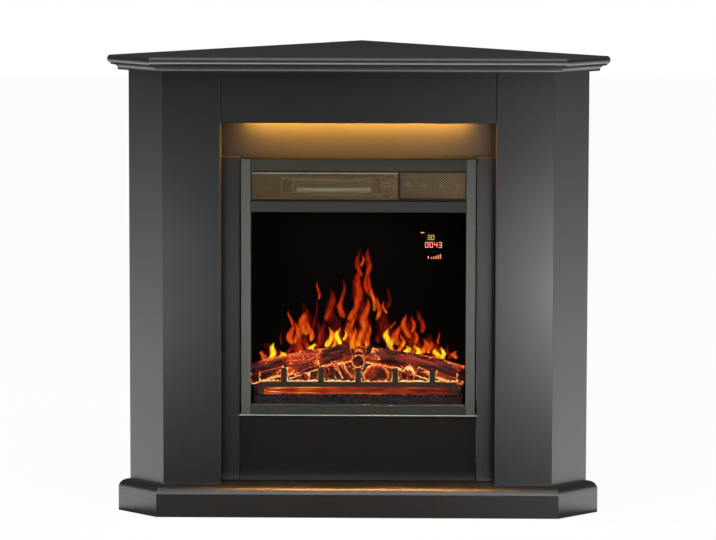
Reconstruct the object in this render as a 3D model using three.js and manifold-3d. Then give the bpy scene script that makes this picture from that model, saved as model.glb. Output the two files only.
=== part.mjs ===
// Corner fireplace: a painted mantel for a room corner, with a glazed electric fire insert.
//
// Millimetres, +Z up. The mantel is drawn with y = 0 at the pillar fronts and +y towards the room
// corner. Its plan is a pentagon: a flat front, two returns at 45 degrees, and two wall sides that
// meet at a right angle. The insert is drawn in a frame of its own, with its origin at the middle
// of the trim frame's lower front edge, and then set into the mantel's opening.

import * as THREE from "three";
import { mergeVertices } from "three/addons/utils/BufferGeometryUtils.js";
import Module from "manifold-3d";

const wasm = await Module();
wasm.setup();

// ---------------------------------------------------------------- driving dimensions: the mantel
const FRONT_HALF = 380; // half the width of the flat front
const RETURN_LENGTH = 100; // length of each 45-degree return
const HEIGHT = 900; // floor to shelf top
const BOARD = 15; // thickness of every board
const SHELF_OVERHANG = 54; // shelf nose, beyond the pillar fronts and returns
const COVE_HEIGHT = 15; // cove moulding under the shelf board
const PLINTH_OVERHANG = 30; // plinth face, beyond the pillar fronts and returns
const PLINTH_HEIGHT = 45; // plinth rails, below the base board
const PILLAR_WIDTH = 112; // flat front of each pillar
const PILLAR_DEPTH = 205; // front to back of each inner cheek
const HEADER_HEIGHT = 100;
const HEADER_SET_BACK = 2; // header, behind the pillar fronts
const NICHE_HEIGHT = 70; // lit niche between header and insert
const RECESS = 50; // stiles and apron, behind the pillar fronts
const POST_WIDTH = 60; // each wing of the back corner post
const EASE = 1; // chamfer on the painted edges that show
const SEAM = 0.3; // glue line or running joint between fitted pieces

// ---------------------------------------------------------------- driving dimensions: the insert
const FRAME_WIDTH = 460;
const FRAME_HEIGHT = 505;
const FRAME_DEPTH = 12;
const FRAME_PROUD = 4; // trim frame, ahead of the mantel's stiles
const FRAME_CLEARANCE = 3; // air around the trim frame
const STILE_WIDTH = 19;
const TOP_RAIL = 25;
const MIDDLE_RAIL = 22;
const BOTTOM_RAIL = 20;
const OUTLET_HEIGHT = 58; // clear height of the heat outlet
const FLAP_WIDTH = 131; // control flap, at the right of the outlet
const GLASS = 4;
const REBATE = 6; // ledge that the glass sits on, all round
const SHEET = 1.2; // sheet-metal thickness
const CASE_SIDE_INSET = 15; // case sides, inside the trim frame's edge
const CASE_TOP_INSET = 10.7; // case top, below the trim frame's top
const CASE_FOOT = 4; // case underside, above the trim frame's lower edge
const CASE_DEPTH = 160;
const BUTTON_RADIUS = 5.5;
const IMPELLER_RADIUS = 24;
const BLADES = 24;
const SPINDLE_TABS = 14;

// ---------------------------------------------------------------- derived sizes
const HALF_TURN = Math.PI;
const ROOT2 = Math.SQRT2;
const WALL_SUM = FRONT_HALF + 2 * RETURN_LENGTH * Math.SQRT1_2; // x + y on the right wall side
const BASE_TOP = PLINTH_HEIGHT + BOARD;
const SHELF_UNDER = HEIGHT - BOARD;
const PILLAR_TOP = SHELF_UNDER - COVE_HEIGHT;
const NICHE_HALF = FRONT_HALF - PILLAR_WIDTH;
const LEDGE_Z = PILLAR_TOP - HEADER_HEIGHT - NICHE_HEIGHT; // top of the stiles
const FRAME_TOP = LEDGE_Z - FRAME_CLEARANCE;
const FRAME_BOTTOM = FRAME_TOP - FRAME_HEIGHT;
const FRAME_HALF = FRAME_WIDTH / 2;
const OPENING_HALF = FRAME_HALF - STILE_WIDTH;
const GLASS_LOW = BOTTOM_RAIL;
const GLASS_HIGH = FRAME_HEIGHT - TOP_RAIL - OUTLET_HEIGHT - MIDDLE_RAIL;
const OUTLET_LOW = GLASS_HIGH + MIDDLE_RAIL;
const OUTLET_HIGH = OUTLET_LOW + OUTLET_HEIGHT;
const FLAP_LEFT = OPENING_HALF - FLAP_WIDTH;
const CASE_HALF = FRAME_HALF - CASE_SIDE_INSET;
const CASE_INNER = CASE_HALF - SHEET - SEAM;
const CASE_FRONT = FRAME_DEPTH + SEAM;
const CASE_BACK = CASE_FRONT + CASE_DEPTH;
const CASE_LOW = CASE_FOOT + SEAM;
const CASE_HIGH = FRAME_HEIGHT - CASE_TOP_INSET;
const DECK_Z = GLASS_HIGH + 10; // floor of the heater chamber, behind the middle rail

// ---------------------------------------------------------------- materials
const paint = new THREE.MeshStandardMaterial({ color: 0x232323, roughness: 0.42 });
const rawBoard = new THREE.MeshStandardMaterial({ color: 0x8a6f52, roughness: 0.85 });
const trim = new THREE.MeshStandardMaterial({ color: 0x4a4c4b, roughness: 0.45, metalness: 0.5 });
const sheetMetal = new THREE.MeshStandardMaterial({ color: 0x2c2c2c, roughness: 0.6, metalness: 0.6 });
const galvanised = new THREE.MeshStandardMaterial({ color: 0x9a9c9d, roughness: 0.4, metalness: 0.9 });
const bronzeMesh = new THREE.MeshStandardMaterial({ color: 0x63533a, roughness: 0.5, metalness: 0.7 });
const pane = new THREE.MeshStandardMaterial({ color: 0x101010, roughness: 0.05 });
const blackPlastic = new THREE.MeshStandardMaterial({ color: 0x1a1a1a, roughness: 0.5 });
const greyPlastic = new THREE.MeshStandardMaterial({ color: 0xb8b8b4, roughness: 0.5 });
const castResin = new THREE.MeshStandardMaterial({ color: 0x5a2c18, roughness: 0.9 });
const flameCloth = new THREE.MeshStandardMaterial({ color: 0xb8501c, roughness: 0.8 });
const diffuser = new THREE.MeshStandardMaterial({ color: 0xe8c67e, roughness: 0.4 });
const laminate = new THREE.MeshStandardMaterial({ color: 0x1f4a32, roughness: 0.6 });

// ---------------------------------------------------------------- shape helpers
const vectors = (points) => points.map(([a, b]) => new THREE.Vector2(a, b));

/** The outline turned over left to right. */
const mirrored = (points) => points.map(([a, b]) => [-a, b]).reverse();

/** A rectangle's corners. */
const rectangle = (a0, a1, b0, b1) => [[a0, b0], [a1, b0], [a1, b1], [a0, b1]];

/** Points on an elliptical arc, angles in degrees. */
function arc(ca, cb, ra, rb, from, to, steps) {
  return Array.from({ length: steps + 1 }, (_, i) => {
    const t = THREE.MathUtils.degToRad(from + ((to - from) * i) / steps);
    return [ca + ra * Math.cos(t), cb + rb * Math.sin(t)];
  });
}

/** A circle as an outline, for holes. */
const circle = (ca, cb, r, steps = 16) => arc(ca, cb, r, r, 0, 360, steps).slice(0, -1);

/** A rectangle with rounded corners, about a middle point. */
function roundedRectangle(a, b, width, height, radius, steps = 3) {
  const da = width / 2 - radius;
  const db = height / 2 - radius;
  const corners = [[da, db, 0], [-da, db, 90], [-da, -db, 180], [da, -db, 270]];
  return corners.flatMap(([ca, cb, from]) => arc(a + ca, b + cb, radius, radius, from, from + 90, steps));
}

function shapeOf(points, holes = []) {
  const shape = new THREE.Shape(vectors(points));
  shape.holes = holes.map((hole) => new THREE.Path(vectors(hole)));
  return shape;
}

/** A plan outline (x, y) raised from z0 to z1. */
function raise(points, z0, z1, holes) {
  const options = { depth: z1 - z0, bevelEnabled: false };
  return new THREE.ExtrudeGeometry(shapeOf(points, holes), options).translate(0, 0, z0);
}

/** A front-view outline (x, z) standing from y0 back to y1, with its edges eased by a chamfer. */
function stand(points, y0, y1, ease = 0, holes = []) {
  const options = {
    depth: y1 - y0 - 2 * ease,
    bevelEnabled: ease > 0,
    bevelThickness: ease,
    bevelSize: ease,
    bevelOffset: -ease,
    bevelSegments: 1,
  };
  const geometry = new THREE.ExtrudeGeometry(shapeOf(points, holes), options);
  return geometry.translate(0, 0, ease).rotateX(HALF_TURN / 2).translate(0, y1, 0);
}

/** A section (y, z) carried along x from x0 to x1. */
function carry(section, x0, x1, holes) {
  const options = { depth: x1 - x0, bevelEnabled: false };
  const turn = new THREE.Matrix4().set(0, 0, 1, x0, 1, 0, 0, 0, 0, 1, 0, 0, 0, 0, 0, 1);
  return new THREE.ExtrudeGeometry(shapeOf(section, holes), options).applyMatrix4(turn);
}

/** A profile (radius, distance) turned about the x axis through (y, z), distance along +x. */
function turnX(profile, x, y, z, sides = 20) {
  const geometry = new THREE.LatheGeometry(vectors(profile), sides);
  return geometry.rotateZ(-HALF_TURN / 2).translate(x, y, z);
}

/** A profile (radius, distance) turned about the y axis through (x, z), distance along +y. */
function turnY(profile, x, y, z, sides = 16) {
  return new THREE.LatheGeometry(vectors(profile), sides).translate(x, y, z);
}

/** A straight shaft or hole along x, between two distances, as a profile for turning. */
const shaft = (radius, from, to) => [[0, from], [radius, from], [radius, to], [0, to]];

/** A closed skin through rings of the same count; the end caps use the section's triangles. */
function skin(rings, section) {
  const count = section.length;
  const points = rings.flat();
  const faces = [];
  for (let r = 0; r + 1 < rings.length; r++)
    for (let i = 0; i < count; i++) {
      const a = r * count + i;
      const b = r * count + ((i + 1) % count);
      faces.push([a, b, b + count], [a, b + count, a + count]);
    }
  const last = (rings.length - 1) * count;
  for (const [a, b, c] of THREE.ShapeUtils.triangulateShape(vectors(section), []))
    faces.push([c, b, a], [last + a, last + b, last + c]);
  const volume = faces.reduce((sum, face) => {
    const [a, b, c] = face.map((i) => new THREE.Vector3(...points[i]));
    return sum + a.dot(b.cross(c));
  }, 0);
  const index = volume < 0 ? faces.map(([a, b, c]) => [a, c, b]) : faces;
  const geometry = new THREE.BufferGeometry();
  geometry.setAttribute("position", new THREE.Float32BufferAttribute(points.flat(), 3));
  geometry.setIndex(index.flat());
  return geometry;
}

/** A thin sheet of the given thickness that follows a line of section points. */
function ribbon(line, thickness) {
  const offset = (side) =>
    line.map(([a, b], i) => {
      const [pa, pb] = line[Math.max(i - 1, 0)];
      const [na, nb] = line[Math.min(i + 1, line.length - 1)];
      const length = Math.hypot(na - pa, nb - pb);
      const reach = (side * thickness) / 2 / length;
      return [a - (nb - pb) * reach, b + (na - pa) * reach];
    });
  return [...offset(-1), ...offset(1).reverse()];
}

/** A geometry as a solid that can be cut and joined. */
function solid(geometry) {
  const bare = geometry.clone();
  bare.deleteAttribute("normal");
  bare.deleteAttribute("uv");
  const merged = mergeVertices(bare, 1e-4);
  return new wasm.Manifold(
    new wasm.Mesh({
      numProp: 3,
      vertProperties: merged.attributes.position.array,
      triVerts: new Uint32Array(merged.index.array),
    }),
  );
}

/** A cut or joined solid as a geometry. */
function geometryOf(body) {
  const { numProp, numVert, vertProperties, triVerts } = body.getMesh();
  const position = new Float32Array(numVert * 3);
  for (let i = 0; i < numVert; i++)
    position.set(vertProperties.subarray(i * numProp, i * numProp + 3), i * 3);
  const geometry = new THREE.BufferGeometry();
  geometry.setAttribute("position", new THREE.BufferAttribute(position, 3));
  geometry.setIndex(new THREE.BufferAttribute(triVerts, 1));
  return geometry;
}

/** Several geometries joined into one. */
const joined = (...geometries) => geometryOf(geometries.map(solid).reduce((a, b) => a.add(b)));

/** A geometry with others cut out of it. */
const cut = (geometry, ...tools) =>
  geometryOf(tools.map(solid).reduce((body, tool) => body.subtract(tool), solid(geometry)));

const root = new THREE.Group();
const mantel = new THREE.Group();
const insert = new THREE.Group();

/** Names a piece and puts it in its group. */
function add(group, name, geometry, material) {
  const mesh = new THREE.Mesh(geometry, material);
  mesh.name = name;
  group.add(mesh);
}

/** A plan outline and its mirror image, as the right and the left piece. */
function addPair(name, outline, z0, z1, material) {
  add(mantel, name + "_right", raise(outline, z0, z1), material);
  add(mantel, name + "_left", raise(mirrored(outline), z0, z1), material);
}

// ---------------------------------------------------------------- the mantel's plan
/** Where the line at this overhang turns from the front to the right return. */
const frontCorner = (overhang) => [FRONT_HALF + overhang * (ROOT2 - 1), -overhang];

/** A point by its distance inside the right wall side and its overhang from the right return. */
function wallPoint(inset, overhang) {
  const sum = WALL_SUM - inset * ROOT2;
  const difference = FRONT_HALF + overhang * ROOT2;
  return [(sum + difference) / 2, (sum - difference) / 2];
}

/** The whole plan, grown by an overhang on the front and the returns. */
function pentagon(overhang) {
  const [fx, fy] = frontCorner(overhang);
  const [wx, wy] = wallPoint(0, overhang);
  return [[-fx, fy], [fx, fy], [wx, wy], [0, WALL_SUM], [-wx, wy]];
}

/** A board of that plan, with its edge worked to a profile of [overhang, z] points. */
function profiledBoard(profile) {
  const rings = profile.map(([overhang, z]) => pentagon(overhang).map(([x, y]) => [x, y, z]));
  return skin(rings, pentagon(0));
}

/** A mitred strip along the front: its section of [overhang, z] points runs corner to corner. */
function frontStrip(section) {
  const end = (side) =>
    section.map(([overhang, z]) => {
      const [x, y] = frontCorner(overhang);
      return [side * (x - SEAM / 2), y, z];
    });
  return skin([end(-1), end(1)], section);
}

/** The same strip along a return: from the mitre to the wall side. */
function returnStrip(section, side) {
  const start = section.map(([overhang, z]) => {
    const [x, y] = frontCorner(overhang);
    const step = (SEAM / 2) * Math.SQRT1_2;
    return [side * (x + step), y + step, z];
  });
  const finish = section.map(([overhang, z]) => {
    const [x, y] = wallPoint(0, overhang);
    return [side * x, y, z];
  });
  return skin([start, finish], section);
}

function addStrips(name, section, material) {
  add(mantel, name + "_front", frontStrip(section), material);
  add(mantel, name + "_right", returnStrip(section, 1), material);
  add(mantel, name + "_left", returnStrip(section, -1), material);
}

// ---------------------------------------------------------------- mantel: shelf and mouldings
const NOSE_RADIUS = BOARD / 2; // the front and return edges are fully rounded
const COVE_FOOT = 27; // overhang of the cove's lower edge
const FILLET = 3; // square edges above and below the cove

function buildShelf() {
  const flat = SHELF_OVERHANG - NOSE_RADIUS;
  const nose = arc(flat, SHELF_UNDER + NOSE_RADIUS, NOSE_RADIUS, NOSE_RADIUS, -90, 90, 16);
  add(mantel, "shelf_board", profiledBoard(nose), paint);

  const low = PILLAR_TOP + SEAM;
  const high = SHELF_UNDER - SEAM;
  const outer = flat - 1;
  const cove = arc(outer, low + FILLET, outer - COVE_FOOT, high - low - 2 * FILLET, 180, 90, 7);
  const section = [[-BOARD, low], [COVE_FOOT, low], ...cove, [outer, high], [-BOARD, high]];
  addStrips("shelf_moulding", section, paint);
}

// ---------------------------------------------------------------- mantel: base and plinth
const OVOLO_WIDTH = 21; // flat quarter round along the base board's edge

function buildBase() {
  const low = PLINTH_HEIGHT + SEAM;
  const foot = low + 1.2; // square edge under the quarter round
  const ovolo = arc(PLINTH_OVERHANG - OVOLO_WIDTH, foot, OVOLO_WIDTH, BASE_TOP - foot, 0, 90, 12);
  add(mantel, "base_board", profiledBoard([[PLINTH_OVERHANG, low], ...ovolo]), paint);

  const inner = PLINTH_OVERHANG - BOARD;
  addStrips("plinth", rectangle(inner, PLINTH_OVERHANG, 0, PLINTH_HEIGHT), paint);

  // Rails along the walls, mitred together at the back corner and butted to the plinth returns.
  const end = inner - SEAM;
  const outline = [
    [SEAM / 2, WALL_SUM - SEAM / 2 - BOARD * ROOT2],
    wallPoint(BOARD, end),
    wallPoint(0, end),
    [SEAM / 2, WALL_SUM - SEAM / 2],
  ];
  addPair("plinth_rail", outline, 0, PLINTH_HEIGHT, rawBoard);
}

// ---------------------------------------------------------------- mantel: pillars
function buildPillars() {
  const low = BASE_TOP + SEAM;
  const high = PILLAR_TOP;
  const mitre = BOARD * Math.tan(HALF_TURN / 8);
  const front = [
    [NICHE_HALF, EASE],
    [NICHE_HALF + EASE, 0],
    [FRONT_HALF - SEAM / 2, 0],
    [FRONT_HALF - mitre - SEAM / 2, BOARD],
    [NICHE_HALF, BOARD],
  ];
  addPair("pillar_front", front, low, high, paint);

  const step = (SEAM / 2) * Math.SQRT1_2;
  const back = [
    [FRONT_HALF + step, step],
    wallPoint(EASE, 0),
    wallPoint(0, -EASE),
    wallPoint(0, -BOARD),
    [FRONT_HALF - mitre + step, BOARD + step],
  ];
  addPair("return_panel", back, low, high, paint);

  const cheek = rectangle(NICHE_HALF, NICHE_HALF + BOARD, BOARD + SEAM, PILLAR_DEPTH);
  addPair("pillar_cheek", cheek, low, SHELF_UNDER - SEAM, paint);

  // The post stands in the back corner and carries the shelf's rear point.
  const inset = BOARD * ROOT2;
  const reach = POST_WIDTH * Math.SQRT1_2;
  const post = [
    [0, WALL_SUM - inset],
    [reach - inset / 2, WALL_SUM - inset / 2 - reach],
    [reach, WALL_SUM - reach],
    [0, WALL_SUM],
    [-reach, WALL_SUM - reach],
    [inset / 2 - reach, WALL_SUM - inset / 2 - reach],
  ];
  add(mantel, "corner_post", raise(post, low, SHELF_UNDER - SEAM), rawBoard);
}

// ---------------------------------------------------------------- mantel: the recess
const SOFFIT_DROP = 14; // soffit, above the header's lower edge
const NICHE_BACK_Y = RECESS + BOARD + SEAM;
const INSERT_SHELF_TOP = FRAME_BOTTOM + CASE_FOOT;
const STRIP_WIDTH = 12;
const STRIP_HEIGHT = 5.2;
const STRIP_SIDE = 2.2; // straight part of the strip's height
const STRIP_HALF = FRAME_HALF + 7; // half the light strip's length
const DRIVER_LENGTH = 120;
const DRIVER_HEIGHT = 40;
const DRIVER_DEPTH = 22;

function buildRecess() {
  const half = NICHE_HALF - SEAM;
  const header = rectangle(-half, half, PILLAR_TOP - HEADER_HEIGHT, PILLAR_TOP);
  add(mantel, "header_panel", stand(header, HEADER_SET_BACK, HEADER_SET_BACK + BOARD, EASE), paint);

  const soffitZ = PILLAR_TOP - HEADER_HEIGHT + SOFFIT_DROP;
  const soffit = rectangle(-half, half, HEADER_SET_BACK + BOARD + SEAM, NICHE_BACK_Y - SEAM);
  add(mantel, "soffit_board", raise(soffit, soffitZ, soffitZ + BOARD), paint);

  const backLow = FRAME_BOTTOM + CASE_HIGH + FRAME_CLEARANCE / 2;
  const nicheBack = rectangle(-half, half, backLow, SHELF_UNDER - SEAM);
  add(mantel, "niche_back", stand(nicheBack, NICHE_BACK_Y, NICHE_BACK_Y + BOARD), paint);

  const stileIn = FRAME_HALF + FRAME_CLEARANCE;
  for (const side of [-1, 1]) {
    const inner = side * stileIn;
    const outer = side * half;
    const stile = rectangle(Math.min(inner, outer), Math.max(inner, outer), BASE_TOP + SEAM, LEDGE_Z);
    const name = "recess_stile_" + (side < 0 ? "left" : "right");
    add(mantel, name, stand(stile, RECESS, RECESS + BOARD, EASE), paint);
  }

  const apronHalf = stileIn - SEAM;
  const apronTop = FRAME_BOTTOM - FRAME_CLEARANCE;
  const apron = rectangle(-apronHalf, apronHalf, BASE_TOP + SEAM, apronTop);
  add(mantel, "apron_panel", stand(apron, RECESS, RECESS + BOARD, EASE), paint);

  const carrier = rectangle(-half, half, NICHE_BACK_Y, PILLAR_DEPTH);
  add(mantel, "insert_shelf", raise(carrier, INSERT_SHELF_TOP - BOARD, INSERT_SHELF_TOP), rawBoard);

  // The light strip under the soffit: a flat-backed silicone sleeve with a rounded face.
  const stripY = NICHE_BACK_Y - (3 * STRIP_WIDTH) / 2;
  const stripZ = soffitZ - SEAM;
  const belly = arc(stripY, stripZ - STRIP_SIDE, STRIP_WIDTH / 2, STRIP_SIDE - STRIP_HEIGHT, 0, 180, 8);
  const sleeve = [[stripY - STRIP_WIDTH / 2, stripZ], [stripY + STRIP_WIDTH / 2, stripZ], ...belly];
  add(mantel, "light_strip", carry(sleeve, -STRIP_HALF, STRIP_HALF), diffuser);

  // Its driver: a case with a screw flange at each end, on the rear of the niche's back board.
  const driverY = NICHE_BACK_Y + BOARD + SEAM;
  const middle = [-NICHE_HALF / 2, soffitZ - DRIVER_HEIGHT];
  const screwX = (DRIVER_LENGTH - 10) / 2;
  const screws = [-screwX, screwX].map((x) => circle(middle[0] + x, middle[1], 2, 8));
  const flange = roundedRectangle(...middle, DRIVER_LENGTH, 0.6 * DRIVER_HEIGHT, 3);
  const body = roundedRectangle(...middle, DRIVER_LENGTH - 24, DRIVER_HEIGHT, 4);
  const driver = joined(
    stand(flange, driverY, driverY + 2, 0, screws),
    stand(body, driverY, driverY + DRIVER_DEPTH, 1),
  );
  add(mantel, "light_driver", driver, blackPlastic);
}

// ---------------------------------------------------------------- insert: trim frame and glass
const RAIL_EASE = 0.8;
const REBATE_Y = FRAME_DEPTH - GLASS - 2 * SEAM;

/** Half of a frame member's section, across its width and depth: rebate on the side that asks. */
function memberSection(width, rebateLow, rebateHigh) {
  const low = rebateLow ? [[REBATE, FRAME_DEPTH], [REBATE, REBATE_Y], [0, REBATE_Y]] : [[0, FRAME_DEPTH]];
  const high = rebateHigh
    ? [[width, REBATE_Y], [width - REBATE, REBATE_Y], [width - REBATE, FRAME_DEPTH]]
    : [[width, FRAME_DEPTH]];
  return [[0, RAIL_EASE], [RAIL_EASE, 0], [width - RAIL_EASE, 0], [width, RAIL_EASE], ...high, ...low];
}

function buildFrame() {
  const stile = memberSection(STILE_WIDTH, true, false).map(([w, y]) => [OPENING_HALF + w, y]);
  add(insert, "frame_stile_right", raise(stile, 0, FRAME_HEIGHT), trim);
  add(insert, "frame_stile_left", raise(mirrored(stile), 0, FRAME_HEIGHT), trim);

  const half = OPENING_HALF - SEAM;
  const rail = (z, width, rebateLow, rebateHigh) =>
    carry(memberSection(width, rebateLow, rebateHigh).map(([w, y]) => [y, z + w]), -half, half);
  add(insert, "frame_rail_bottom", rail(0, BOTTOM_RAIL, false, true), trim);
  add(insert, "frame_rail_middle", rail(GLASS_HIGH, MIDDLE_RAIL, true, false), trim);
  add(insert, "frame_rail_top", rail(FRAME_HEIGHT - TOP_RAIL, TOP_RAIL, false, false), trim);

  const glassHalf = OPENING_HALF + REBATE - SEAM;
  const glass = rectangle(-glassHalf, glassHalf, GLASS_LOW - REBATE + SEAM, GLASS_HIGH + REBATE - SEAM);
  add(insert, "glass_pane", stand(glass, REBATE_Y + SEAM, REBATE_Y + SEAM + GLASS), pane);
}

// ---------------------------------------------------------------- insert: outlet grille and flap
const MESH_Y = 3; // face of the grille and of the closed flap, behind the frame's face
const MESH_BORDER = 4;
const FLAP_THICKNESS = 2.5;
const HINGE_RADIUS = 2;
const PIN_RADIUS = 1.2;
const PIN_REACH = 3;

/** Diamond holes in staggered rows that fill a rectangle. */
function diamonds(x0, x1, z0, z1, columns, rows) {
  const pitchX = (x1 - x0) / columns;
  const pitchZ = (z1 - z0) / rows;
  const halfX = 0.36 * pitchX;
  const halfZ = 0.4 * pitchZ;
  const holes = [];
  for (let row = 0; row < rows; row++)
    for (let column = 0; column < columns - (row % 2); column++) {
      const x = x0 + (column + 0.5 + 0.5 * (row % 2)) * pitchX;
      const z = z0 + (row + 0.5) * pitchZ;
      holes.push([[x - halfX, z], [x, z - halfZ], [x + halfX, z], [x, z + halfZ]]);
    }
  return holes;
}

function buildOutlet() {
  const left = -OPENING_HALF + SEAM;
  const right = FLAP_LEFT - SEAM;
  const low = OUTLET_LOW + SEAM;
  const high = OUTLET_HIGH - SEAM;
  const b = MESH_BORDER;
  const holes = diamonds(left + b, right - b, low + b, high - b, 20, 5);
  const plate = stand(rectangle(left, right, low, high), MESH_Y, MESH_Y + 1.5, 0, holes);
  // The grille's right edge is a deep upright that takes the flap's left hinge pin.
  const upright = carry(rectangle(MESH_Y, FRAME_DEPTH, low, high), right - PIN_REACH - 1, right);
  const hole = turnX(shaft(PIN_RADIUS + SEAM, -PIN_REACH, 1), right, HINGE_Y, HINGE_Z, 12);
  add(insert, "outlet_grille", cut(joined(plate, upright), hole), bronzeMesh);
}

const HINGE_Y = MESH_Y + HINGE_RADIUS;
const HINGE_Z = OUTLET_LOW + HINGE_RADIUS + 2 * SEAM;

function buildFlap() {
  const left = FLAP_LEFT + SEAM;
  const right = OPENING_HALF - 2 * SEAM;
  const low = HINGE_Z;
  const high = OUTLET_HIGH - 2 * SEAM;
  const b = MESH_BORDER;
  const holes = diamonds(left + b, right - b, low + HINGE_RADIUS + 2, high - b, 9, 5);
  const panel = stand(rectangle(left, right, low, high), MESH_Y, MESH_Y + FLAP_THICKNESS, 0, holes);
  const width = right - left;
  const barrel = turnX(shaft(HINGE_RADIUS, 0, width), left, HINGE_Y, HINGE_Z, 16);
  const pin = shaft(PIN_RADIUS, 1 - PIN_REACH, width + PIN_REACH);
  const pins = turnX(pin, left, HINGE_Y, HINGE_Z, 12);
  add(insert, "control_flap", joined(panel, barrel, pins), bronzeMesh);
}

/** The right stile takes the flap's other hinge pin. */
function drillStile() {
  const stile = insert.children.find((mesh) => mesh.name === "frame_stile_right");
  const hole = turnX(shaft(PIN_RADIUS + SEAM, -1, PIN_REACH + 1), OPENING_HALF, HINGE_Y, HINGE_Z, 12);
  stile.geometry = cut(stile.geometry, hole);
}

// ---------------------------------------------------------------- insert: control panel and keys
const PANEL_Y = 30;
const PANEL_WALL = 2;
const KEY_FACE_Y = 24; // faces of the keys, ahead of the panel
const KEY_EASE = 0.8;
const KEYS = ["power", "flame", "heat", "timer"];
const KEY_FLANGE = BUTTON_RADIUS + 1.6;
const KEY_CLEARANCE = 0.4; // round each key, and behind the panel for its flange

function buildControls() {
  const left = FLAP_LEFT - 4;
  const right = CASE_INNER;
  const low = OUTLET_LOW - 4;
  const high = OUTLET_HIGH + 4;
  const keyZ = (OUTLET_LOW + OUTLET_HIGH) / 2;
  const keyX = KEYS.map((_, i) => FLAP_LEFT + (FLAP_WIDTH * (i + 0.5)) / KEYS.length);
  const holes = keyX.map((x) => circle(x, keyZ, BUTTON_RADIUS + KEY_CLEARANCE));
  const back = stand(rectangle(left, right, low, high), PANEL_Y, PANEL_Y + PANEL_WALL, 0, holes);
  const inner = rectangle(left + PANEL_WALL, right - PANEL_WALL, low + PANEL_WALL, high - PANEL_WALL);
  const walls = stand(rectangle(left, right, low, high), CASE_FRONT, PANEL_Y + 1, 0, [inner]);
  add(insert, "control_panel", joined(back, walls), blackPlastic);

  KEYS.forEach((key, i) => {
    const rear = PANEL_Y + PANEL_WALL + KEY_CLEARANCE - KEY_FACE_Y;
    const profile = [
      [0, 0],
      [BUTTON_RADIUS - KEY_EASE, 0],
      [BUTTON_RADIUS, KEY_EASE],
      [BUTTON_RADIUS, rear],
      [KEY_FLANGE, rear],
      [KEY_FLANGE, rear + 1.6],
      [0, rear + 1.6],
    ];
    add(insert, "button_" + key, turnY(profile, keyX[i], KEY_FACE_Y, keyZ), greyPlastic);
  });
}

// ---------------------------------------------------------------- insert: display
const DISPLAY_WIDTH = 38;
const DISPLAY_HEIGHT = 46;
const DISPLAY_INSET = 64; // its middle, from the glass opening's right and upper edges
const DISPLAY_CORNER = 3;

function buildDisplay() {
  const middle = [OPENING_HALF - DISPLAY_INSET, GLASS_HIGH - DISPLAY_INSET];
  const y = REBATE_Y + 2 * SEAM + GLASS;
  const outline = roundedRectangle(...middle, DISPLAY_WIDTH, DISPLAY_HEIGHT, DISPLAY_CORNER);
  add(insert, "display_module", stand(outline, y, y + 3.5), blackPlastic);
}

// ---------------------------------------------------------------- insert: case
const VENT_COLUMNS = 14;
const VENT_ROWS = 2;
const VENT_MARGIN = 52; // solid sheet at each end of the vents
const GLAND_INSET = 45; // cord gland, inside the case side
const GLAND_Z = 36;
const GLAND_RADIUS = 8;
const SHAFT_RADIUS = 3; // of the flame spindle and of the blower wheel's stubs
const SPINDLE_Z = 66;
const SPINDLE_BACK = 30; // spindle's axis, ahead of the case back
const SPINDLE_Y = CASE_BACK - SPINDLE_BACK;
const TAB_REACH = 20; // tip of a reflector tab, from the spindle's axis
const SCREEN_THICKNESS = 3;
const SCREEN_Y = SPINDLE_Y - TAB_REACH - 9; // flame screen, clear of the turning tabs

function buildCase() {
  const side = rectangle(CASE_FRONT, CASE_BACK, CASE_LOW, CASE_HIGH);
  const bearing = circle(SPINDLE_Y, SPINDLE_Z, SHAFT_RADIUS + SEAM);
  add(insert, "case_left", carry(side, -CASE_HALF, SHEET - CASE_HALF, [bearing]), sheetMetal);
  add(insert, "case_right", carry(side, CASE_HALF - SHEET, CASE_HALF), sheetMetal);

  const floor = rectangle(-CASE_INNER, CASE_INNER, CASE_FRONT, CASE_BACK);
  add(insert, "case_bottom", raise(floor, CASE_LOW, CASE_LOW + SHEET), sheetMetal);
  add(insert, "case_top", raise(floor, CASE_HIGH - SHEET, CASE_HIGH), sheetMetal);

  const pitch = (CASE_HALF - VENT_MARGIN) / (VENT_COLUMNS / 2);
  const holes = [circle(CASE_HALF - GLAND_INSET, GLAND_Z, GLAND_RADIUS + SEAM)];
  for (let row = 0; row < VENT_ROWS; row++)
    for (let column = 0; column < VENT_COLUMNS; column++) {
      const x = (column + 0.5 - VENT_COLUMNS / 2) * pitch;
      const z = DECK_Z + 24 + row * 26;
      holes.push([...arc(x, z + 8, 3, 3, 0, 180, 4), ...arc(x, z - 8, 3, 3, 180, 360, 4)]);
    }
  const back = rectangle(-CASE_HALF, CASE_HALF, CASE_LOW, CASE_HIGH);
  add(insert, "case_back", stand(back, CASE_BACK + SEAM, CASE_BACK + SEAM + SHEET, 0, holes), sheetMetal);

  // A bush with a flange on each side of the sheet; the mains lead would pass through it.
  const y = CASE_BACK + SEAM;
  const r = GLAND_RADIUS;
  const bush = [
    [2.6, -4], [r + 2, -4], [r + 2, -SEAM], [r, -SEAM], [r, SHEET + SEAM], [r + 3, SHEET + SEAM],
    [r + 2, 4], [5, 12], [3.4, 12], [2.6, -4],
  ];
  add(insert, "cord_gland", turnY(bush, CASE_HALF - GLAND_INSET, y, GLAND_Z), blackPlastic);
}

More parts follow.
